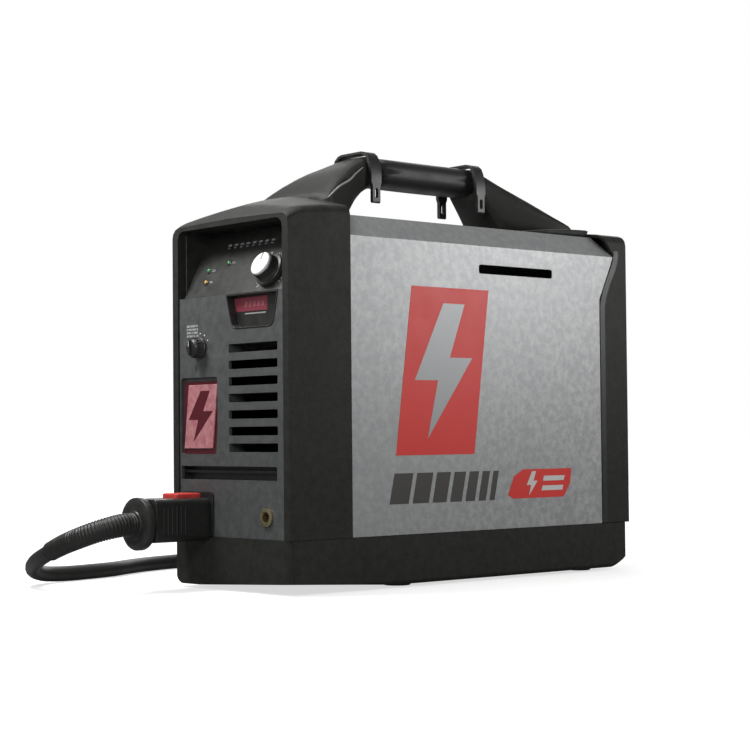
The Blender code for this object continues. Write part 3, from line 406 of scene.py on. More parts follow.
def swept(name, path, radiusAt, material, sides=28):
    # a closed tube whose radius follows a rule along the path
    edit = bmesh.new()
    side = (path[1] - path[0]).orthogonal().normalized()
    rings = []
    travelled = 0.0
    for index, point in enumerate(path):
        ahead = path[min(index + 1, len(path) - 1)] - path[max(index - 1, 0)]
        ahead.normalize()
        side = (side - ahead * side.dot(ahead)).normalized()
        other = ahead.cross(side)
        if index:
            travelled += (point - path[index - 1]).length
        radius = radiusAt(travelled)
        rings.append([
            edit.verts.new(point + (side * math.cos(t) + other * math.sin(t)) * radius)
            for t in (2 * math.pi * step / sides for step in range(sides))
        ])
    bridged(edit, rings)
    edit.faces.new(rings[0][::-1])
    edit.faces.new(rings[-1])
    bmesh.ops.recalc_face_normals(edit, faces=edit.faces)
    mesh = meshFrom(edit, name)
    smoothed(mesh, 60)
    mesh.materials.append(material)
    return linked(name, mesh)


def revolved(name, profile, centre, axis, material, sides=64):
    # (radius, height) points from pole to pole, turned about the axis
    edit = bmesh.new()
    turn = Matrix.Translation(centre) @ Vector((0, 0, 1)).rotation_difference(Vector(axis)).to_matrix().to_4x4()
    rings = []
    for step in range(sides):
        angle = 2 * math.pi * step / sides
        rings.append([edit.verts.new(turn @ Vector((r * math.cos(angle), r * math.sin(angle), h)))
                      for r, h in profile])
    bridged(edit, rings + rings[:1], closed=False)
    bmesh.ops.remove_doubles(edit, verts=edit.verts, dist=mergeGap / 2)
    bmesh.ops.dissolve_degenerate(edit, edges=edit.edges, dist=mergeGap / 2)
    bmesh.ops.recalc_face_normals(edit, faces=edit.faces)
    mesh = meshFrom(edit, name)
    markEdges(mesh)
    smoothed(mesh, 32)
    mesh.materials.append(material)
    return linked(name, mesh)


def faceMatrix(origin, right, up):
    right, up = Vector(right).normalized(), Vector(up).normalized()
    out = right.cross(up)
    matrix = Matrix((right, up, out)).transposed().to_4x4()
    matrix.translation = Vector(origin)
    return matrix


def frontAt(y):
    return faceMatrix((0, y, 0), (1, 0, 0), (0, 0, 1))


def backAt(y):
    return faceMatrix((0, y, 0), (-1, 0, 0), (0, 0, 1))


def plates(name, outlines, matrix, low, high, material, body, slot="pale_plastic", edge=0.0):
    # flat shapes on a face, from low to high above it, as one piece
    edit = bmesh.new()
    for outline in outlines:
        foot = [edit.verts.new(matrix @ Vector((a, b, low))) for a, b in outline]
        top = [edit.verts.new(matrix @ Vector((a, b, high))) for a, b in outline]
        edit.faces.new(foot)
        edit.faces.new(top)
        bridged(edit, [foot, top])
    bmesh.ops.recalc_face_normals(edit, faces=edit.faces)
    mesh = meshFrom(edit, name)
    piece = linked(name, mesh)
    if edge:
        rounding = piece.modifiers.new("rounding", "BEVEL")
        rounding.width = edge
        rounding.segments = 2
        rounding.angle_limit = math.radians(30)
        settled(piece)
        markEdges(piece.data)
    coloured(piece.data, material)
    return placed(piece, body, slot)


def bar(left, right, low, high, lean=0.0):
    return [(left, low), (right, low), (right + lean, high), (left + lean, high)]


def disc(a, b, radius, sides=24):
    return [(a + radius * math.cos(2 * math.pi * k / sides), b + radius * math.sin(2 * math.pi * k / sides))
            for k in range(sides)]


def boltShape(left, right, low, high):
    # a plain lightning bolt
    corners = [(0.50, 1.0), (0.02, 0.43), (0.40, 0.43), (0.22, 0.0), (0.98, 0.60), (0.60, 0.60), (0.86, 1.0)]
    return [(left + (right - left) * a, low + (high - low) * b) for a, b in corners]


# Geometry Nodes: one shape on every point of a mesh, turned as the point says, made real at the end.
def copiesTree(name):
    tree = bpy.data.node_groups.new(name, "GeometryNodeTree")
    face = tree.interface
    face.new_socket("Geometry", in_out="INPUT", socket_type="NodeSocketGeometry")
    face.new_socket("Shape", in_out="INPUT", socket_type="NodeSocketObject")
    face.new_socket("Finish", in_out="INPUT", socket_type="NodeSocketMaterial")
    face.new_socket("Geometry", in_out="OUTPUT", socket_type="NodeSocketGeometry")
    entry = tree.nodes.new("NodeGroupInput")
    leave = tree.nodes.new("NodeGroupOutput")
    shape = tree.nodes.new("GeometryNodeObjectInfo")
    tree.links.new(entry.outputs["Shape"], shape.inputs["Object"])
    turn = tree.nodes.new("GeometryNodeInputNamedAttribute")
    turn.data_type = "FLOAT_VECTOR"
    turn.inputs["Name"].default_value = "turn"
    angle = tree.nodes.new("FunctionNodeEulerToRotation")
    tree.links.new(turn.outputs["Attribute"], angle.inputs[0])
    copies = tree.nodes.new("GeometryNodeInstanceOnPoints")
    tree.links.new(entry.outputs["Geometry"], copies.inputs["Points"])
    tree.links.new(shape.outputs["Geometry"], copies.inputs["Instance"])
    tree.links.new(angle.outputs[0], copies.inputs["Rotation"])
    real = tree.nodes.new("GeometryNodeRealizeInstances")
    tree.links.new(copies.outputs[0], real.inputs[0])
    paint = tree.nodes.new("GeometryNodeSetMaterial")
    tree.links.new(real.outputs[0], paint.inputs["Geometry"])
    tree.links.new(entry.outputs["Finish"], paint.inputs["Material"])
    tree.links.new(paint.outputs[0], leave.inputs[0])
    return tree


copiesGroup = copiesTree("copies on points")


def copies(name, shape, matrices, material, body, slot):
    mesh = bpy.data.meshes.new(name)
    mesh.from_pydata([tuple(matrix.translation) for matrix in matrices], [], [])
    layer = mesh.attributes.new("turn", "FLOAT_VECTOR", "POINT")
    for row, matrix in zip(layer.data, matrices):
        row.vector = tuple(matrix.to_euler())
    piece = linked(name, mesh)
    grower = piece.modifiers.new("copies", "NODES")
    grower.node_group = copiesGroup
    sockets = {item.name: item.identifier for item in copiesGroup.interface.items_tree if item.in_out == "INPUT"}
    grower[sockets["Shape"]] = shape
    grower[sockets["Finish"]] = material
    settled(piece)
    bpy.data.objects.remove(shape)
    return placed(piece, body, slot)


def shapeOf(name, build):
    # a small template that copies() uses up
    edit = bmesh.new()
    build(edit)
    bmesh.ops.recalc_face_normals(edit, faces=edit.faces)
    mesh = meshFrom(edit, name)
    return linked(name, mesh)


def ribShape(width, depth, length):
    # a half-round bar along Z, its flat side at x = 0
    def build(edit):
        ends = []
        for z in (-length / 2, length / 2):
            turns = [math.pi * k / 6 for k in range(7)]
            ends.append([edit.verts.new((depth * math.sin(t), -width / 2 * math.cos(t), z)) for t in turns])
        edit.faces.new(ends[0])
        edit.faces.new(ends[1])
        bridged(edit, ends)
    return build


def screwShape(radius, height):
    # a pan head with a cross recess, its axis along Z
    def build(edit):
        turns = [2 * math.pi * k / 24 for k in range(24)]
        crossReach = (0.5, 0.46, 0.16, 0.16, 0.16, 0.46)
        rings = []
        for share, level in ((1.0, 0.0), (1.0, 0.45), (0.86, 0.8), (0.62, 0.98)):
            reach = radius * share
            rings.append([edit.verts.new((reach * math.cos(t), reach * math.sin(t), height * level)) for t in turns])
        cross = []
        for k, t in enumerate(turns):
            reach = radius * crossReach[k % 6]
            cross.append(edit.verts.new((reach * math.cos(t), reach * math.sin(t), height)))
        floor = [edit.verts.new((v.co.x * 0.8, v.co.y * 0.8, height * 0.45)) for v in cross]
        rings += [cross, floor]
        bridged(edit, rings)
        edit.faces.new(rings[0])
        edit.faces.new(floor)
    return build


# the torch lead

lead = {
    "radius": 0.007,
    "sides": 5,
    "pointSpacing": 0.006,
    "insideHandle": [(-0.3340, 0.1700, 0.0165), (-0.3340, 0.2000, 0.0165)],
}
sleeveRoute = [
    (-0.0475, -0.2788, 0.0580),
    (-0.0475, -0.2886, 0.0576),
    (-0.0495, -0.3000, 0.0556),
    (-0.0560, -0.3105, 0.0522),
    (-0.0670, -0.3184, 0.0475),
    (-0.0820, -0.3227, 0.0423),
    (-0.0975, -0.3236, 0.0372),
    (-0.1045, -0.3232, 0.0349),
]
leadRoute = [
    (-0.1051, -0.3231, 0.0347),
    (-0.1120, -0.3226, 0.0325),
    (-0.1300, -0.3197, 0.0270),
    (-0.1520, -0.3122, 0.0205),
    (-0.1730, -0.2991, 0.0140),
    (-0.1890, -0.2790, 0.0090),
    (-0.1970, -0.2510, 0.0072),
    (-0.2020, -0.2210, 0.0072),
    (-0.2110, -0.1920, 0.0072),
    (-0.2260, -0.1650, 0.0072),
    (-0.2390, -0.1380, 0.0072),
    (-0.2480, -0.1100, 0.0072),
    (-0.2550, -0.0810, 0.0072),
    (-0.2640, -0.0530, 0.0072),
    (-0.2775, -0.0300, 0.0072),
]
tailRoute = [
    (-0.3205, 0.0560, 0.0480),
    (-0.3255, 0.0780, 0.0440),
    (-0.3300, 0.1000, 0.0340),
    (-0.3330, 0.1200, 0.0225),
    (-0.3340, 0.1350, 0.0172),
    (-0.3340, 0.1456, 0.0165),
]
coil = {
    "centre": (-0.203, 0.060),
    "inner": 0.0735,
    "pitch": 0.0144,
    "floor": 0.0072,
    "sector": 60,
    "travel": 3600,
    "pointsPerTurn": 36,
}


def easedStep(travel, start):
    part = min(1.0, max(0.0, (travel - start) / coil["sector"]))
    return (1 - math.cos(math.pi * part)) / 2


def coilPoints():
    # Three columns and four layers, wound in and out. Each layer steps over just before the last climb.
    columnSteps = [(265, -1), (625, -1), (1225, 1), (1585, 1), (2185, -1), (2545, -1), (3145, 1), (3505, 1)]
    climbs = [925, 1885, 2845]
    points = []
    count = round(coil["travel"] / 360 * coil["pointsPerTurn"])
    for step in range(count + 1):
        travel = coil["travel"] * step / count
        column = 2 + sum(way * easedStep(travel, start) for start, way in columnSteps)
        column += max(0.0, travel - 3555) * 0.016  # the last turn leaves outwards
        layer = sum(easedStep(travel, start) for start in climbs)
        angle = math.radians(200 - travel)
        radius = coil["inner"] + coil["pitch"] * column
        points.append((
            coil["centre"][0] + radius * math.cos(angle),
            coil["centre"][1] + radius * math.sin(angle),
            coil["floor"] + coil["pitch"] * layer,
        ))
    return points


def torchLead():
    whole = [Vector(p) for p in leadRoute + coilPoints() + tailRoute + lead["insideHandle"]]
    route = catmull(whole, lead["pointSpacing"])
    curve = bpy.data.curves.new("torch_lead_hose", "CURVE")
    curve.dimensions = "3D"
    curve.bevel_depth = lead["radius"]
    curve.bevel_resolution = lead["sides"]
    curve.use_fill_caps = True
    spline = curve.splines.new("POLY")
    spline.points.add(len(route) - 1)
    for point, place in zip(spline.points, route):
        point.co = (*place, 1)
    curve.materials.append(finishes["cable_rubber"])
    hose = linked("torch_lead_hose", curve)
    placed(hose, machine, "cable_rubber", "torch_lead", "torch_lead_coil", "torch_lead_tail")
    length = lengthOf(route)
    print("hose length", round(length, 3), "points", len(route))
    return hose, length


sleeve = {"start": 0.0102, "end": 0.00836, "ribPitch": 0.0026, "ribDepth": 0.0007}


def ribbedSleeve():
    path = catmull(sleeveRoute, 0.00065)
    total = lengthOf(path)

    def radiusAt(travelled):
        base = sleeve["start"] + (sleeve["end"] - sleeve["start"]) * travelled / total
        wave = 0.5 - 0.5 * math.cos(2 * math.pi * travelled / sleeve["ribPitch"])
        return base - sleeve["ribDepth"] * wave ** 1.5

    piece = swept("torch_lead_boot", path, radiusAt, finishes["cable_rubber"])
    return placed(piece, machine, "cable_rubber", "torch_lead_sleeve")


hose, hoseLength = torchLead()
boot = ribbedSleeve()
print("lead made")


# camera, lights and floor

view = {"place": (1.2452, -1.1386, 0.1325), "azimuth": 48.6922, "pitch": 1.87587, "roll": -0.53094, "lens": 86.87}


def aimCamera():
    a, p, roll = (math.radians(view[key]) for key in ("azimuth", "pitch", "roll"))
    forward = Vector((-math.sin(a) * math.cos(p), math.cos(a) * math.cos(p), math.sin(p)))
    level = Vector((math.cos(a), math.sin(a), 0))
    above = level.cross(forward)
    right = level * math.cos(roll) + above * math.sin(roll)
    up = above * math.cos(roll) - level * math.sin(roll)
    data = bpy.data.cameras.new("camera")
    data.lens = view["lens"]
    data.sensor_width = 36
    data.clip_start = 0.05
    data.clip_end = 60
    camera = linked("camera", data)
    matrix = Matrix((right, up, -forward)).transposed().to_4x4()
    matrix.translation = Vector(view["place"])
    camera.matrix_world = matrix
    bpy.context.scene.camera = camera


studio = {
    "side": {"place": (0.95, 0.85, 0.50), "aim": (0.08, 0.22, 0.34), "size": 0.4, "power": 1.05, "spread": 80},
    "front": {"place": (-0.15, -0.44, 0.60), "aim": (0.0, -0.2, 0.24), "size": 0.2, "power": 1.9, "spread": 140},
    "edge": {"place": (0.50, -0.80, 0.42), "aim": (0.05, -0.15, 0.25), "size": 0.25, "power": 2.1, "spread": 180},
    "top": {"place": (-0.4, -0.2, 1.9), "aim": (0.0, 0.0, 0.3), "size": 1.2, "power": 18, "spread": 180},
    "back": {"place": (-1.8, 1.8, 1.2), "aim": (0.0, 0.0, 0.2), "size": 1.5, "power": 16, "spread": 180},
}
worldLevel = {"seen": 1.0, "light": 0.20}


def lightStudio():
    for name, row in studio.items():
        data = bpy.data.lights.new(name, "AREA")
        data.size = row["size"]
        data.energy = row["power"]
        data.spread = math.radians(row["spread"])
        lamp = linked("light " + name, data)
        aim = Vector(row["aim"]) - Vector(row["place"])
        lamp.matrix_world = Matrix.Translation(row["place"]) @ aim.to_track_quat("-Z", "Y").to_matrix().to_4x4()
    world = bpy.data.worlds.new("studio")
    bpy.context.scene.world = world
    world.use_nodes = True
    tree = world.node_tree
    background = tree.nodes["Background"]
    background.inputs["Color"].default_value = (1.0, 1.0, 1.0, 1.0)
    seen = tree.nodes.new("ShaderNodeLightPath").outputs["Is Camera Ray"]
    level = addNode(tree, "ShaderNodeMapRange", n0=seen, n3=worldLevel["light"], n4=worldLevel["seen"])
    tree.links.new(level.outputs[0], background.inputs["Strength"])


floor = {"radius": 40.0, "below": 0.0003, "bounce": (0.20, 0.20, 0.20)}
floorGlow = {"near": 0.66, "far": 0.97, "nearEnds": 0.5, "farStarts": 2.2, "unseen": 0.10}


def layFloor():
    made, tree, shader, where = newMaterial("pale floor")
    cloud = noiseAt(tree, where, 3.0, 3.0)
    seen = tree.nodes.new("ShaderNodeLightPath").outputs["Is Camera Ray"]
    pale = mixed(tree, spread(tree, cloud, 0.0, 1.0), (0.62, 0.62, 0.615), (0.64, 0.64, 0.635))
    wired(tree, shader, mixed(tree, seen, floor["bounce"], pale))
    shader.inputs["Roughness"].default_value = 0.9
    shader.inputs["Specular IOR Level"].default_value = 0.1
    shader.inputs["Emission Color"].default_value = (1.0, 1.0, 1.0, 1.0)
    away = addNode(tree, "ShaderNodeVectorMath", {"operation": "LENGTH"}, n0=where).outputs["Value"]
    glow = spread(tree, away, floorGlow["near"], floorGlow["far"], floorGlow["nearEnds"], floorGlow["farStarts"])
    share = spread(tree, seen, floorGlow["unseen"], 1.0, 0.0, 1.0)
    tree.links.new(times(tree, glow, share), shader.inputs["Emission Strength"])
    edit = bmesh.new()
    bmesh.ops.create_circle(edit, cap_ends=True, radius=floor["radius"], segments=96)
    bmesh.ops.translate(edit, verts=edit.verts, vec=(0, 0, -floor["below"]))
    mesh = meshFrom(edit, "floor")
    mesh.materials.append(made)
    linked("floor", mesh)


aimCamera()
lightStudio()
layFloor()
bpy.context.scene.view_settings.view_transform = "Standard"
print("camera and lights set")


# casing

# width, segments and least angle of each rounded edge
roundings = {
    "front_cap": (0.0016, 3, 28),
    "rear_cap": (0.0016, 3, 28),
    "base_tray": (0.0014, 3, 28),
    "side_cover": (0.0006, 2, 20),
    "front_panel": (0.0005, 2, 28),
    "louvre_grille": (0.0004, 2, 28),
    "groove_bar": (0.0004, 2, 28),
    "control_hood": (0.0006, 2, 28),
    "control_panel": (0.0004, 2, 28),
    "display_bezel": (0.0006, 2, 28),
    "badge_plate": (0.0003, 2, 28),
    "rear_panel": (0.0005, 2, 28),
    "torch_receptacle": (0.0005, 2, 28),
    "torch_plug": (0.0012, 3, 28),
    "plug_release_button": (0.0005, 2, 28),
    "front_strap_clip": (0.0008, 2, 28),
    "rear_strap_clip": (0.0008, 2, 28),
    "switch_frame": (0.0004, 2, 28),
    "switch_rocker": (0.0005, 2, 28),
    "fan_frame": (0.0006, 2, 28),
    "torch_trigger": (0.0006, 2, 28),
}
for nodeName, (width, segments, angle) in roundings.items():
    softened(nodeName, width, segments, angle)
subdivided("handle_front_post", crease=0.45, creaseAngle=22)
subdivided("handle_rear_post", crease=0.45, creaseAngle=22)
subdivided("handle_grip")
subdivided("torch_handle", crease=0.2, creaseAngle=30)

seam = {
    "line": [(0.1723, 0.0458), (0.1723, 0.1500), (0.1723, 0.2420), (0.1733, 0.2580), (0.1780, 0.2720),
             (0.1860, 0.2870), (0.1918, 0.2990), (0.1925, 0.3080)],
    "spacing": 0.006,
    "width": 0.0066,
    "proud": 0.00022,
    "sunk": -0.0006,
}


def seamGasket():
    # the black strip that closes the joint between the cover and the rear cap
    line = [Vector((0, y, z)) for y, z in seam["line"]]
    path = catmull(line, seam["spacing"])
    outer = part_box("rear_cap")[1][0]
    for side, name in ((1, "right"), (-1, "left")):
        edit = bmesh.new()
        rows = []
        for index, point in enumerate(path):
            ahead = path[min(index + 1, len(path) - 1)] - path[max(index - 1, 0)]
            back = Vector((0, ahead.z, -ahead.y)).normalized() * seam["width"]
            corners = ((point, seam["sunk"]), (point, seam["proud"]), (point + back, seam["proud"]),
                       (point + back, seam["sunk"]))
            rows.append([edit.verts.new((side * (outer + out), place.y, place.z)) for place, out in corners])
        bridged(edit, rows)
        edit.faces.new(rows[0])
        edit.faces.new(rows[-1])
        bmesh.ops.recalc_face_normals(edit, faces=edit.faces)
        mesh = meshFrom(edit, name + "_seam_gasket")
        mesh.materials.append(finishes["black_plastic"])
        placed(linked(name + "_seam_gasket", mesh), machine, "black_plastic")


# stations of the pale bead that paints a highlight along the front post's upper edges
highlightBead = {
    "stations": [(-0.1424, 0.0540, 0.3218, 0.3425), (-0.1250, 0.0475, 0.3218, 0.3575),
                 (-0.1060, 0.0400, 0.3218, 0.3690), (-0.0930, 0.0325, 0.3350, 0.3742),
                 (-0.0770, 0.0245, 0.3470, 0.3815)],
    "turn": 14,
    "squareness": 0.52,
    "sunk": 0.0004,
    "spacing": 0.003,
    "radius": 0.0009,
}


def handleBeads():
    # a fine raised pale grey bead along each upper edge of the front post, a painted highlight that stands in for the
    # light caught on that edge
    turn = math.radians(highlightBead["turn"])
    out = math.cos(turn) ** highlightBead["squareness"]
    up = math.sin(turn) ** highlightBead["squareness"]
    for side, name in ((1, "right"), (-1, "left")):
        route = []
        for y, half, low, high in highlightBead["stations"]:
            route.append((side * (half * out - highlightBead["sunk"]), y, (low + high) / 2 + (high - low) / 2 * up))
        path = catmull(route, highlightBead["spacing"])
        total = lengthOf(path)

        def radiusAt(travelled):
            along = min(1, max(0, travelled / total))
            return highlightBead["radius"] * (0.35 + 0.65 * math.sin(math.pi * along) ** 0.4)

        # the pale grey print colour makes the bead read as a lit edge: painted highlight
        placed(swept(name + "_handle_bead", path, radiusAt, inks["grey"], 10), machine, "charcoal_plastic")


seamGasket()
handleBeads()
print("casing finished")


# control face

panelLow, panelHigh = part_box("control_panel")
slope = math.atan2(panelHigh[1] - 0.003 - panelLow[1], panelHigh[2] - panelLow[2])
controlFace = faceMatrix((0, panelLow[1], panelLow[2]), (1, 0, 0), (0, math.sin(slope), math.cos(slope)))
knobPivot = next(j for j in frame["joints"] if j["name"] == "current_knob_turn")["pos_m"]
knobX = knobPivot[0]
knobUp = (knobPivot[2] - panelLow[2]) / math.cos(slope)
dial = {
    "inner": 0.0168,
    "outer": 0.0188,
    "longer": 0.0009,
    "halfWidth": (0.00014, 0.00022),
    "steps": 26,
    "starts": 225,
    "sweep": 270,
    "numbersOut": 0.0222,
    "numberSize": 0.0034,
}
# how far a print stands above each face, from and to
controlPrint = (0.00005, 0.00018)
frontPrint = (0.0001, 0.00022)
pocketPrint = (0.00002, 0.00022)


def dialTurn(step):
    return math.radians(dial["starts"] - dial["sweep"] * step / dial["steps"])


def dialMarks():
    ticks = []
    middle = Vector((knobX, knobUp))
    for step in range(dial["steps"] + 1):
        turn = dialTurn(step)
        long = step % 5 == 0
        across = Vector((-math.sin(turn), math.cos(turn))) * dial["halfWidth"][long]
        along = Vector((math.cos(turn), math.sin(turn)))
        near, far = along * dial["inner"], along * (dial["outer"] + dial["longer"] * long)
        ticks.append([tuple(middle + p) for p in (near - across, far - across, far + across, near + across)])
    plates("dial_ticks", ticks, controlFace, *controlPrint, inks["white"], machine)


def digitPiece(name, words, size, matrix, material):
    # numbers set as one flat mesh
    thickness = 0.00006
    made = []
    for text, a, b in words:
        font = bpy.data.curves.new(name, "FONT")
        font.body = text
        font.size = size
        font.align_x = "CENTER"
        font.align_y = "CENTER"
        font.extrude = thickness
        holder = linked(name + "_type", font)
        bpy.context.view_layer.update()
        mesh = bpy.data.meshes.new_from_object(holder.evaluated_get(bpy.context.evaluated_depsgraph_get()))
        bpy.data.objects.remove(holder)
        mesh.transform(matrix @ Matrix.Translation((a, b, 2 * thickness)))
        made.append(mesh)
    edit = bmesh.new()
    for mesh in made:
        edit.from_mesh(mesh)
        bpy.data.meshes.remove(mesh)
    bmesh.ops.remove_doubles(edit, verts=edit.verts, dist=mergeGap / 20)
    mesh = meshFrom(edit, name)
    coloured(mesh, material)
    return placed(linked(name, mesh), machine, "pale_plastic")


lamps = {
    "ready_lamp": (-0.0510, 0.0270, "green"),
    "fault_lamp": (-0.0480, 0.0150, "amber"),
    "gas_lamp": (-0.0250, 0.0330, "green"),
}
lampDome = [(0.0, 0.0012), (0.0008, 0.0011), (0.0015, 0.0007), (0.0019, 0.0), (0.0019, -0.0006), (0.0, -0.0006)]


def controlDetails():
    dialMarks()
    numbers = []
    for index, value in enumerate((25, 30, 35, 40), 1):
        turn = dialTurn(index * 5)
        out = dial["numbersOut"]
        numbers.append((str(value), knobX + out * math.cos(turn), knobUp + out * math.sin(turn)))
    digitPiece("dial_numbers", numbers, dial["numberSize"], controlFace, inks["white"])
    scale = []
    for left, right, low, high in ((-0.0370, -0.0325, 0.0508, 0.0526), (-0.0362, -0.0332, 0.0482, 0.0492)):
        scale += [bar(left + 0.0088 * k, right + 0.0088 * k, low, high) for k in range(8)]
    plates("scale_marks", scale, controlFace, *controlPrint, inks["grey"], machine)
    plates("lamp_rims", [disc(a, b, 0.0030) for a, b, ink in lamps.values()], controlFace, 0.00005, 0.0007,
           *own("black_plastic"), 0.0003)
    for name, (a, b, ink) in lamps.items():
        centre = controlFace @ Vector((a, b, 0.0008))
        placed(revolved(name, lampDome, centre, controlFace.to_3x3().col[2], inks[ink], 32), machine, "pale_plastic")
    icons = [bar(-0.0460, -0.0415, 0.0262, 0.0268), bar(-0.0460, -0.0430, 0.0275, 0.0281),
             bar(-0.0430, -0.0385, 0.0142, 0.0148), bar(-0.0430, -0.0400, 0.0155, 0.0161),
             bar(-0.0200, -0.0160, 0.0322, 0.0328), bar(-0.0200, -0.0175, 0.0335, 0.0341)]
    plates("lamp_marks", icons, controlFace, *controlPrint, inks["grey"], machine)


# radius and height of each step of the knob's outline
currentKnob = {
    "body": [(0.0, 0.0125), (0.0104, 0.0125), (0.0110, 0.0119), (0.0116, 0.0062), (0.0124, 0.0050),
             (0.0146, 0.0046), (0.0150, 0.0041), (0.0150, 0.0008), (0.0148, 0.0006), (0.0030, 0.0006),
             (0.0030, -0.0080), (0.0, -0.0080)],
    "face": [(0.0, 0.0150), (0.0085, 0.0152), (0.0098, 0.0151), (0.0105, 0.0146), (0.0107, 0.0140),
             (0.0107, 0.0128), (0.0, 0.0128)],
    "ribs": 30,
    "ribPlace": (0.0110, 0, 0.0090),
}


def knobParts():
    axis = controlFace.to_3x3().col[2]
    centre = Vector(knobPivot)
    body = bodyOf["current_knob"]
    placed(revolved("current_knob_body", currentKnob["body"], centre, axis, finishes["black_plastic"], 72), body,
           "black_plastic", "current_knob")
    placed(revolved("current_knob_face", currentKnob["face"], centre, axis, finishes["pale_plastic"], 72), body,
           "pale_plastic", "current_knob_cap")
    ribs = []
    upright = controlFace.to_3x3()
    for k in range(currentKnob["ribs"]):
        turn = Matrix.Rotation(2 * math.pi * k / currentKnob["ribs"], 3, "Z")
        place = centre + upright @ (turn @ Vector(currentKnob["ribPlace"]))
        ribs.append(Matrix.Translation(place) @ (upright @ turn).to_4x4())
    copies("current_knob_ribs", shapeOf("rib", ribShape(0.0010, 0.0008, 0.0056)), ribs, *own("black_plastic", body))
    knobFace = faceMatrix(centre + axis * 0.0150, (1, 0, 0), upright.col[1])
    plates("current_knob_pointer", [bar(-0.0006, 0.0006, 0.0035, 0.0100)], knobFace, 0.0, 0.0003, inks["dark"], body)


controlDetails()
knobParts()
print("control face finished")


# front panel

frontLow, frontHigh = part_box("front_panel")
frontFace = frontAt(frontLow[1])
pocketFace = frontAt(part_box("display_bezel")[0][1] + 0.008)
modePivot = Vector((-0.0430, frontLow[1], 0.2093))


modeLabel = {
    "left": -0.0630,
    "low": 0.2192,
    "high": 0.2211,
    "rowPitch": 0.0029,
    "gap": 0.0009,
    "rows": [(0.0030, 0.0052, 0.0021, 0.0050), (0.0062, 0.0018, 0.0066), (0.0024, 0.0040, 0.0058, 0.0020),
             (0.0048, 0.0072, 0.0026)],
}
modeMarks = {"count": 5, "starts": 150, "step": 30, "out": 0.0125, "radius": 0.0007}


def frontDetails():
    label = []
    for row, widths in enumerate(modeLabel["rows"]):
        left = modeLabel["left"]
        rise = row * modeLabel["rowPitch"]
        for width in widths:
            label.append(bar(left, left + width, modeLabel["low"] + rise, modeLabel["high"] + rise))
            left += width + modeLabel["gap"]
    plates("mode_label", label, frontFace, *frontPrint, inks["grey"], machine)
    around = []
    for k in range(modeMarks["count"]):
        turn = math.radians(modeMarks["starts"] - modeMarks["step"] * k)
        place = modePivot.xz + Vector((math.cos(turn), math.sin(turn))) * modeMarks["out"]
        around.append(disc(place.x, place.y, modeMarks["radius"], 12))
    plates("mode_marks", around, frontFace, *frontPrint, inks["white"], machine)
    plates("small_mark", [boltShape(-0.0530, -0.0465, 0.1880, 0.1950)], frontFace, *frontPrint, inks["dark"], machine)
    strip = [bar(-0.0022, 0.0430, 0.2385, 0.2505)]
    plates("bezel_strip", strip, pocketFace, 0.00002, 0.00030, inks["rose"], machine)
    marks = [bar(0.0115 + 0.0058 * k, 0.0152 + 0.0058 * k, 0.2420, 0.2465, 0.0010) for k in range(5)]
    plates("bezel_marks", marks, pocketFace, 0.00030, 0.00040, inks["pink"], machine)
    plates("bezel_line", [bar(0.0120, 0.0410, 0.2358, 0.2370)], pocketFace, *pocketPrint, inks["grey"], machine)


badgeShape = {
    "surround": [(-0.0722, 0.1168), (-0.0258, 0.1168), (-0.0188, 0.1800), (-0.0705, 0.1800)],
    "block": [(-0.0700, 0.1215), (-0.0282, 0.1215), (-0.0208, 0.1772), (-0.0628, 0.1772)],
    "bolt": (-0.0640, -0.0262, 0.1275, 0.1718),
}


def badge():
    low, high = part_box("badge_mark")
    floorFace = frontAt(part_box("badge_plate")[0][1])
    plates("badge_surround", [badgeShape["surround"]], floorFace, 0.0, 0.0003, inks["maroon"], machine)
    mark = plates("badge_block", [badgeShape["block"]], frontAt(high[1]), 0.0, high[1] - low[1], inks["pink"], machine,
                  "pale_plastic", 0.0004)
    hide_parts("badge_mark")
    bolt = boltShape(*badgeShape["bolt"])
    plates("badge_bolt", [bolt], frontAt(low[1]), -0.0006, 0.0001, inks["maroon"], machine)


modeKnob = {
    "outline": [(0.0, 0.0112), (0.0052, 0.0112), (0.0066, 0.0106), (0.0078, 0.0090), (0.0088, 0.0030),
                (0.0095, 0.0022), (0.0095, 0.0006), (0.0030, 0.0006), (0.0030, -0.0060), (0.0, -0.0060)],
    "height": 0.0112,
    "ribs": 18,
    "ribsOut": 0.0082,
    "ribsUp": 0.0056,
}


def modeKnobParts():
    body = bodyOf["mode_knob"]
    placed(revolved("mode_knob_body", modeKnob["outline"], modePivot, (0, -1, 0), finishes["black_plastic"], 64), body,
           "black_plastic", "mode_knob")
    face = faceMatrix(modePivot + Vector((0, -modeKnob["height"], 0)), (1, 0, 0), (0, 0, 1))
    plates("mode_knob_blade", [bar(-0.0014, 0.0014, -0.0068, 0.0068)], face, -0.0010, 0.0018,
           *own("black_plastic", body), 0.0004)
    plates("mode_knob_line", [bar(-0.0003, 0.0003, 0.0008, 0.0062)], face, 0.0018, 0.0019, inks["white"], body)
    ribs = []
    for k in range(modeKnob["ribs"]):
        angle = 2 * math.pi * (k + 0.5) / modeKnob["ribs"]
        c, s = math.cos(angle), math.sin(angle)
        basis = Matrix(((c, -s, 0), (0, 0, -1), (s, c, 0)))
        place = modePivot + Vector((modeKnob["ribsOut"] * c, -modeKnob["ribsUp"], modeKnob["ribsOut"] * s))
        ribs.append(Matrix.Translation(place) @ basis.to_4x4())
    copies("mode_knob_ribs", shapeOf("rib", ribShape(0.0010, 0.0006, 0.0052)), ribs, *own("black_plastic", body))


frontDetails()
badge()
modeKnobParts()
print("front panel finished")


# side prints

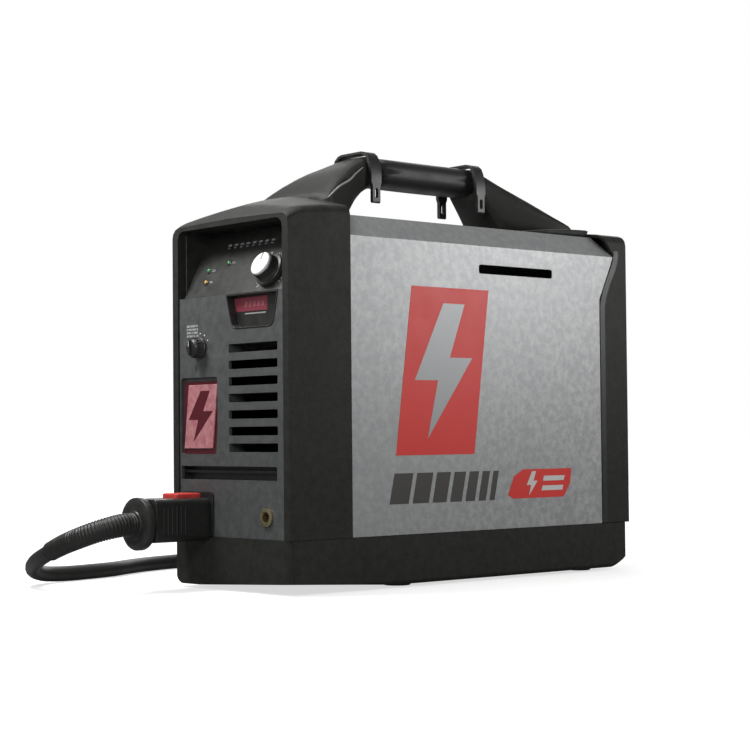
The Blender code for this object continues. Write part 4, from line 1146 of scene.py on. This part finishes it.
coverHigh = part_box("side_cover")[1][0]
sides = {
    "right": faceMatrix((coverHigh, 0, 0), (0, 1, 0), (0, 0, 1)),
    "left": faceMatrix((-coverHigh, 0, 0), (0, -1, 0), (0, 0, 1)),
}
sidePrint = {
    "block": (-0.0930, 0.0215, 0.1140, 0.2620),
    "slant": 0.0200,
    "bolt": (-0.036, 0.037, 0.014),
    "barsFrom": -0.1010,
    "barWidths": (0.0220, 0.0190, 0.0165, 0.0140, 0.0115, 0.0090, 0.0065),
    "barGap": 0.0048,
    "barLow": 0.0720,
    "barHigh": 0.0985,
    "lean": 0.0060,
    "swoosh": [(0.0440, 0.0760), (0.0500, 0.0725), (0.1180, 0.0725), (0.1270, 0.0850), (0.1290, 0.0990),
               (0.0640, 0.0990), (0.0520, 0.0930)],
    "leftShift": -0.022,
}


def sidePrints():
    for name, face in sides.items():
        shift = 0.0 if name == "right" else sidePrint["leftShift"]
        left, right, low, high = sidePrint["block"]
        emblem = bar(left + shift, right + shift - sidePrint["slant"], low, high, sidePrint["slant"])
        plates(name + "_emblem", [emblem], face, 0.0, 0.0002, inks["red"], machine, "red_plastic")
        middle = (left + right) / 2 + shift
        before, after, inset = sidePrint["bolt"]
        bolt = boltShape(middle + before, middle + after, low + inset, high - inset)
        plates(name + "_emblem_bolt", [bolt], face, 0.0002, 0.0003, *own("cover_paint"))
        bars = []
        start = sidePrint["barsFrom"] + shift
        for width in sidePrint["barWidths"]:
            bars.append(bar(start, start + width, sidePrint["barLow"], sidePrint["barHigh"], sidePrint["lean"]))
            start += width + sidePrint["barGap"]
        plates(name + "_bars", bars, face, 0.0, 0.0002, inks["dark"], machine, "black_plastic")
        swoosh = [(a + shift, b) for a, b in sidePrint["swoosh"]]
        plates(name + "_swoosh", [swoosh], face, 0.0, 0.00022, inks["red"], machine, "red_plastic")
        marks = [boltShape(0.0680 + shift, 0.0830 + shift, 0.0750, 0.0970),
                 bar(0.0880 + shift, 0.1160 + shift, 0.0790, 0.0835, 0.0015),
                 bar(0.0900 + shift, 0.1180 + shift, 0.0880, 0.0925, 0.0015)]
        plates(name + "_swoosh_bolt", marks, face, 0.00022, 0.00034, inks["white"], machine)


sidePrints()
print("side prints made")


# plug, collar and torch

plugRibs = {"count": 6, "starts": 0.0080, "pitch": 0.0045, "sunk": 0.0004}


def plugParts():
    low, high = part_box("plug_collar")
    centre = Vector(((low[0] + high[0]) / 2, high[1], (low[2] + high[2]) / 2))
    depth = high[1] - low[1]
    profile = [(0.0, depth), (0.0112, depth), (0.0118, depth - 0.0012), (0.0170, depth - 0.0006),
               (0.0188, depth - 0.0010), (0.0222, depth - 0.0028), (0.0225, depth - 0.0034), (0.0225, 0.0020),
               (0.0221, 0.0012), (0.0205, 0.0), (0.0, 0.0)]
    collar = placed(revolved("plug_collar_ring", profile, centre, (0, -1, 0), finishes["black_plastic"], 80), machine,
                    "black_plastic", "plug_collar")
    low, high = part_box("torch_plug")
    ribs = []
    for side in (-1, 1):
        wall = (low[0] + high[0]) / 2 + side * ((high[0] - low[0]) / 2 - plugRibs["sunk"])
        basis = Matrix(((side, 0, 0), (0, side, 0), (0, 0, 1))).to_4x4()
        for k in range(plugRibs["count"]):
            place = (wall, low[1] + plugRibs["starts"] + plugRibs["pitch"] * k, (low[2] + high[2]) / 2)
            ribs.append(Matrix.Translation(place) @ basis)
    grip = copies("plug_grip_ribs", shapeOf("rib", ribShape(0.0020, 0.0009, 0.0240)), ribs, *own("black_plastic"))
    return [collar, grip]


tailBoot = {"length": 0.038, "start": 0.0079, "end": 0.0104, "ribPitch": 0.0038, "ribDepth": 0.0006}


def torchBoot():
    path = catmull(tailRoute, 0.0007)
    travelled = 0.0
    kept = [path[-1]]
    for here, last in zip(path[::-1][1:], path[::-1]):
        travelled += (here - last).length
        if travelled <= tailBoot["length"]:
            kept.append(here)
    kept.reverse()

    def radiusAt(along):
        base = tailBoot["start"] + (tailBoot["end"] - tailBoot["start"]) * along / tailBoot["length"]
        wave = 0.5 - 0.5 * math.cos(2 * math.pi * along / tailBoot["ribPitch"])
        return base - tailBoot["ribDepth"] * wave

    return placed(swept("torch_tail_boot", kept, radiusAt, finishes["cable_rubber"]), machine, "cable_rubber")


# every separate piece on the lead, from the plug to the torch's tip
onLead = [boot]
onLead += [bpy.data.objects[name + "_finished"]
           for name in ("torch_plug", "plug_release_button", "torch_handle", "torch_trigger")]
onLead += [frame["nodes"][name] for name in ("torch_head", "torch_retaining_cap", "torch_shield")]
onLead += plugParts()
onLead.append(torchBoot())
print("plug and torch finished")


# back

backFace = backAt(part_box("rear_panel")[1][1])
guard = {
    "centre": (-0.010, 0.165),
    "wire": 0.0008,
    "rings": (0.012, 0.019, 0.026, 0.033, 0.040, 0.0485),
    "ringSides": 72,
    "wireSides": 8,
    "spokes": (0.011, 0.0500),
    "screwsOut": 0.046,
}
# radius and height of each kind of screw head
screws = {"panel": (0.0032, 0.0019), "fan": (0.0026, 0.0016), "port": (0.0018, 0.0010)}
panelScrews = [(-0.056, 0.292), (0.012, 0.292), (0.070, 0.292), (-0.070, 0.180), (0.070, 0.180), (-0.070, 0.055),
               (0.0, 0.055), (0.070, 0.055)]


def fanGuard():
    x, z = guard["centre"]
    wire = guard["wire"]
    low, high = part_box("fan_guard")
    level = (low[1] + high[1]) / 2
    edit = bmesh.new()
    for radius in guard["rings"]:
        made = []
        for i in range(guard["ringSides"]):
            a = 2 * math.pi * i / guard["ringSides"]
            ring = []
            for j in range(guard["wireSides"]):
                b = 2 * math.pi * j / guard["wireSides"]
                reach = radius + wire * math.cos(b)
                ring.append(edit.verts.new((x + reach * math.cos(a), level + wire * math.sin(b),
                                            z + reach * math.sin(a))))
            made.append(ring)
        bridged(edit, made + made[:1])
    for k in range(4):
        angle = math.radians(45 + 90 * k)
        start, end = (Vector((x + out * math.cos(angle), level - 0.0001, z + out * math.sin(angle)))
                      for out in guard["spokes"])
        spoke = bmesh.ops.create_cone(edit, cap_ends=True, segments=guard["wireSides"], radius1=wire * 0.9,
                                      radius2=wire * 0.9, depth=(end - start).length)
        turn = Vector((0, 0, 1)).rotation_difference(end - start).to_matrix().to_4x4()
        bmesh.ops.transform(edit, matrix=Matrix.Translation((start + end) / 2) @ turn, verts=spoke["verts"])
    bmesh.ops.recalc_face_normals(edit, faces=edit.faces)
    mesh = meshFrom(edit, "fan_guard_wires")
    mesh.shade_smooth()
    mesh.materials.append(finishes["steel"])
    placed(linked("fan_guard_wires", mesh), machine, "steel", "fan_guard")


def screwed(name, kind, face, spots):
    heads = [face @ Matrix.Translation((a, b, 0.0)) for a, b in spots]
    copies(name, shapeOf("screw", screwShape(*screws[kind])), heads, *own("steel"))


def backParts():
    fanGuard()
    screwed("rear_panel_screws", "panel", backFace, panelScrews)
    x, z = guard["centre"]
    ends = (-guard["screwsOut"], guard["screwsOut"])
    screwed("fan_screws", "fan", backFace, [(-x + a, z + b) for a in ends for b in ends])
    plates("rating_plate", [bar(-0.034, 0.034, 0.232, 0.248)], backFace, 0.0, 0.0004, *own("aluminium"))
    lines = [bar(-0.030, 0.020 - 0.006 * (k % 2), 0.2345 + 0.0030 * k, 0.2355 + 0.0030 * k) for k in range(4)]
    plates("rating_lines", lines, backFace, 0.0004, 0.0005, inks["dark"], machine, "black_plastic")
    low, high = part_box("interface_port_cover")
    inset = 0.003
    corners = [(a, b) for b in (low[2] + inset, high[2] - inset) for a in (-high[0] + inset, -low[0] - inset)]
    screwed("port_screws", "port", backAt(high[1]), corners)


backParts()
print("back finished")
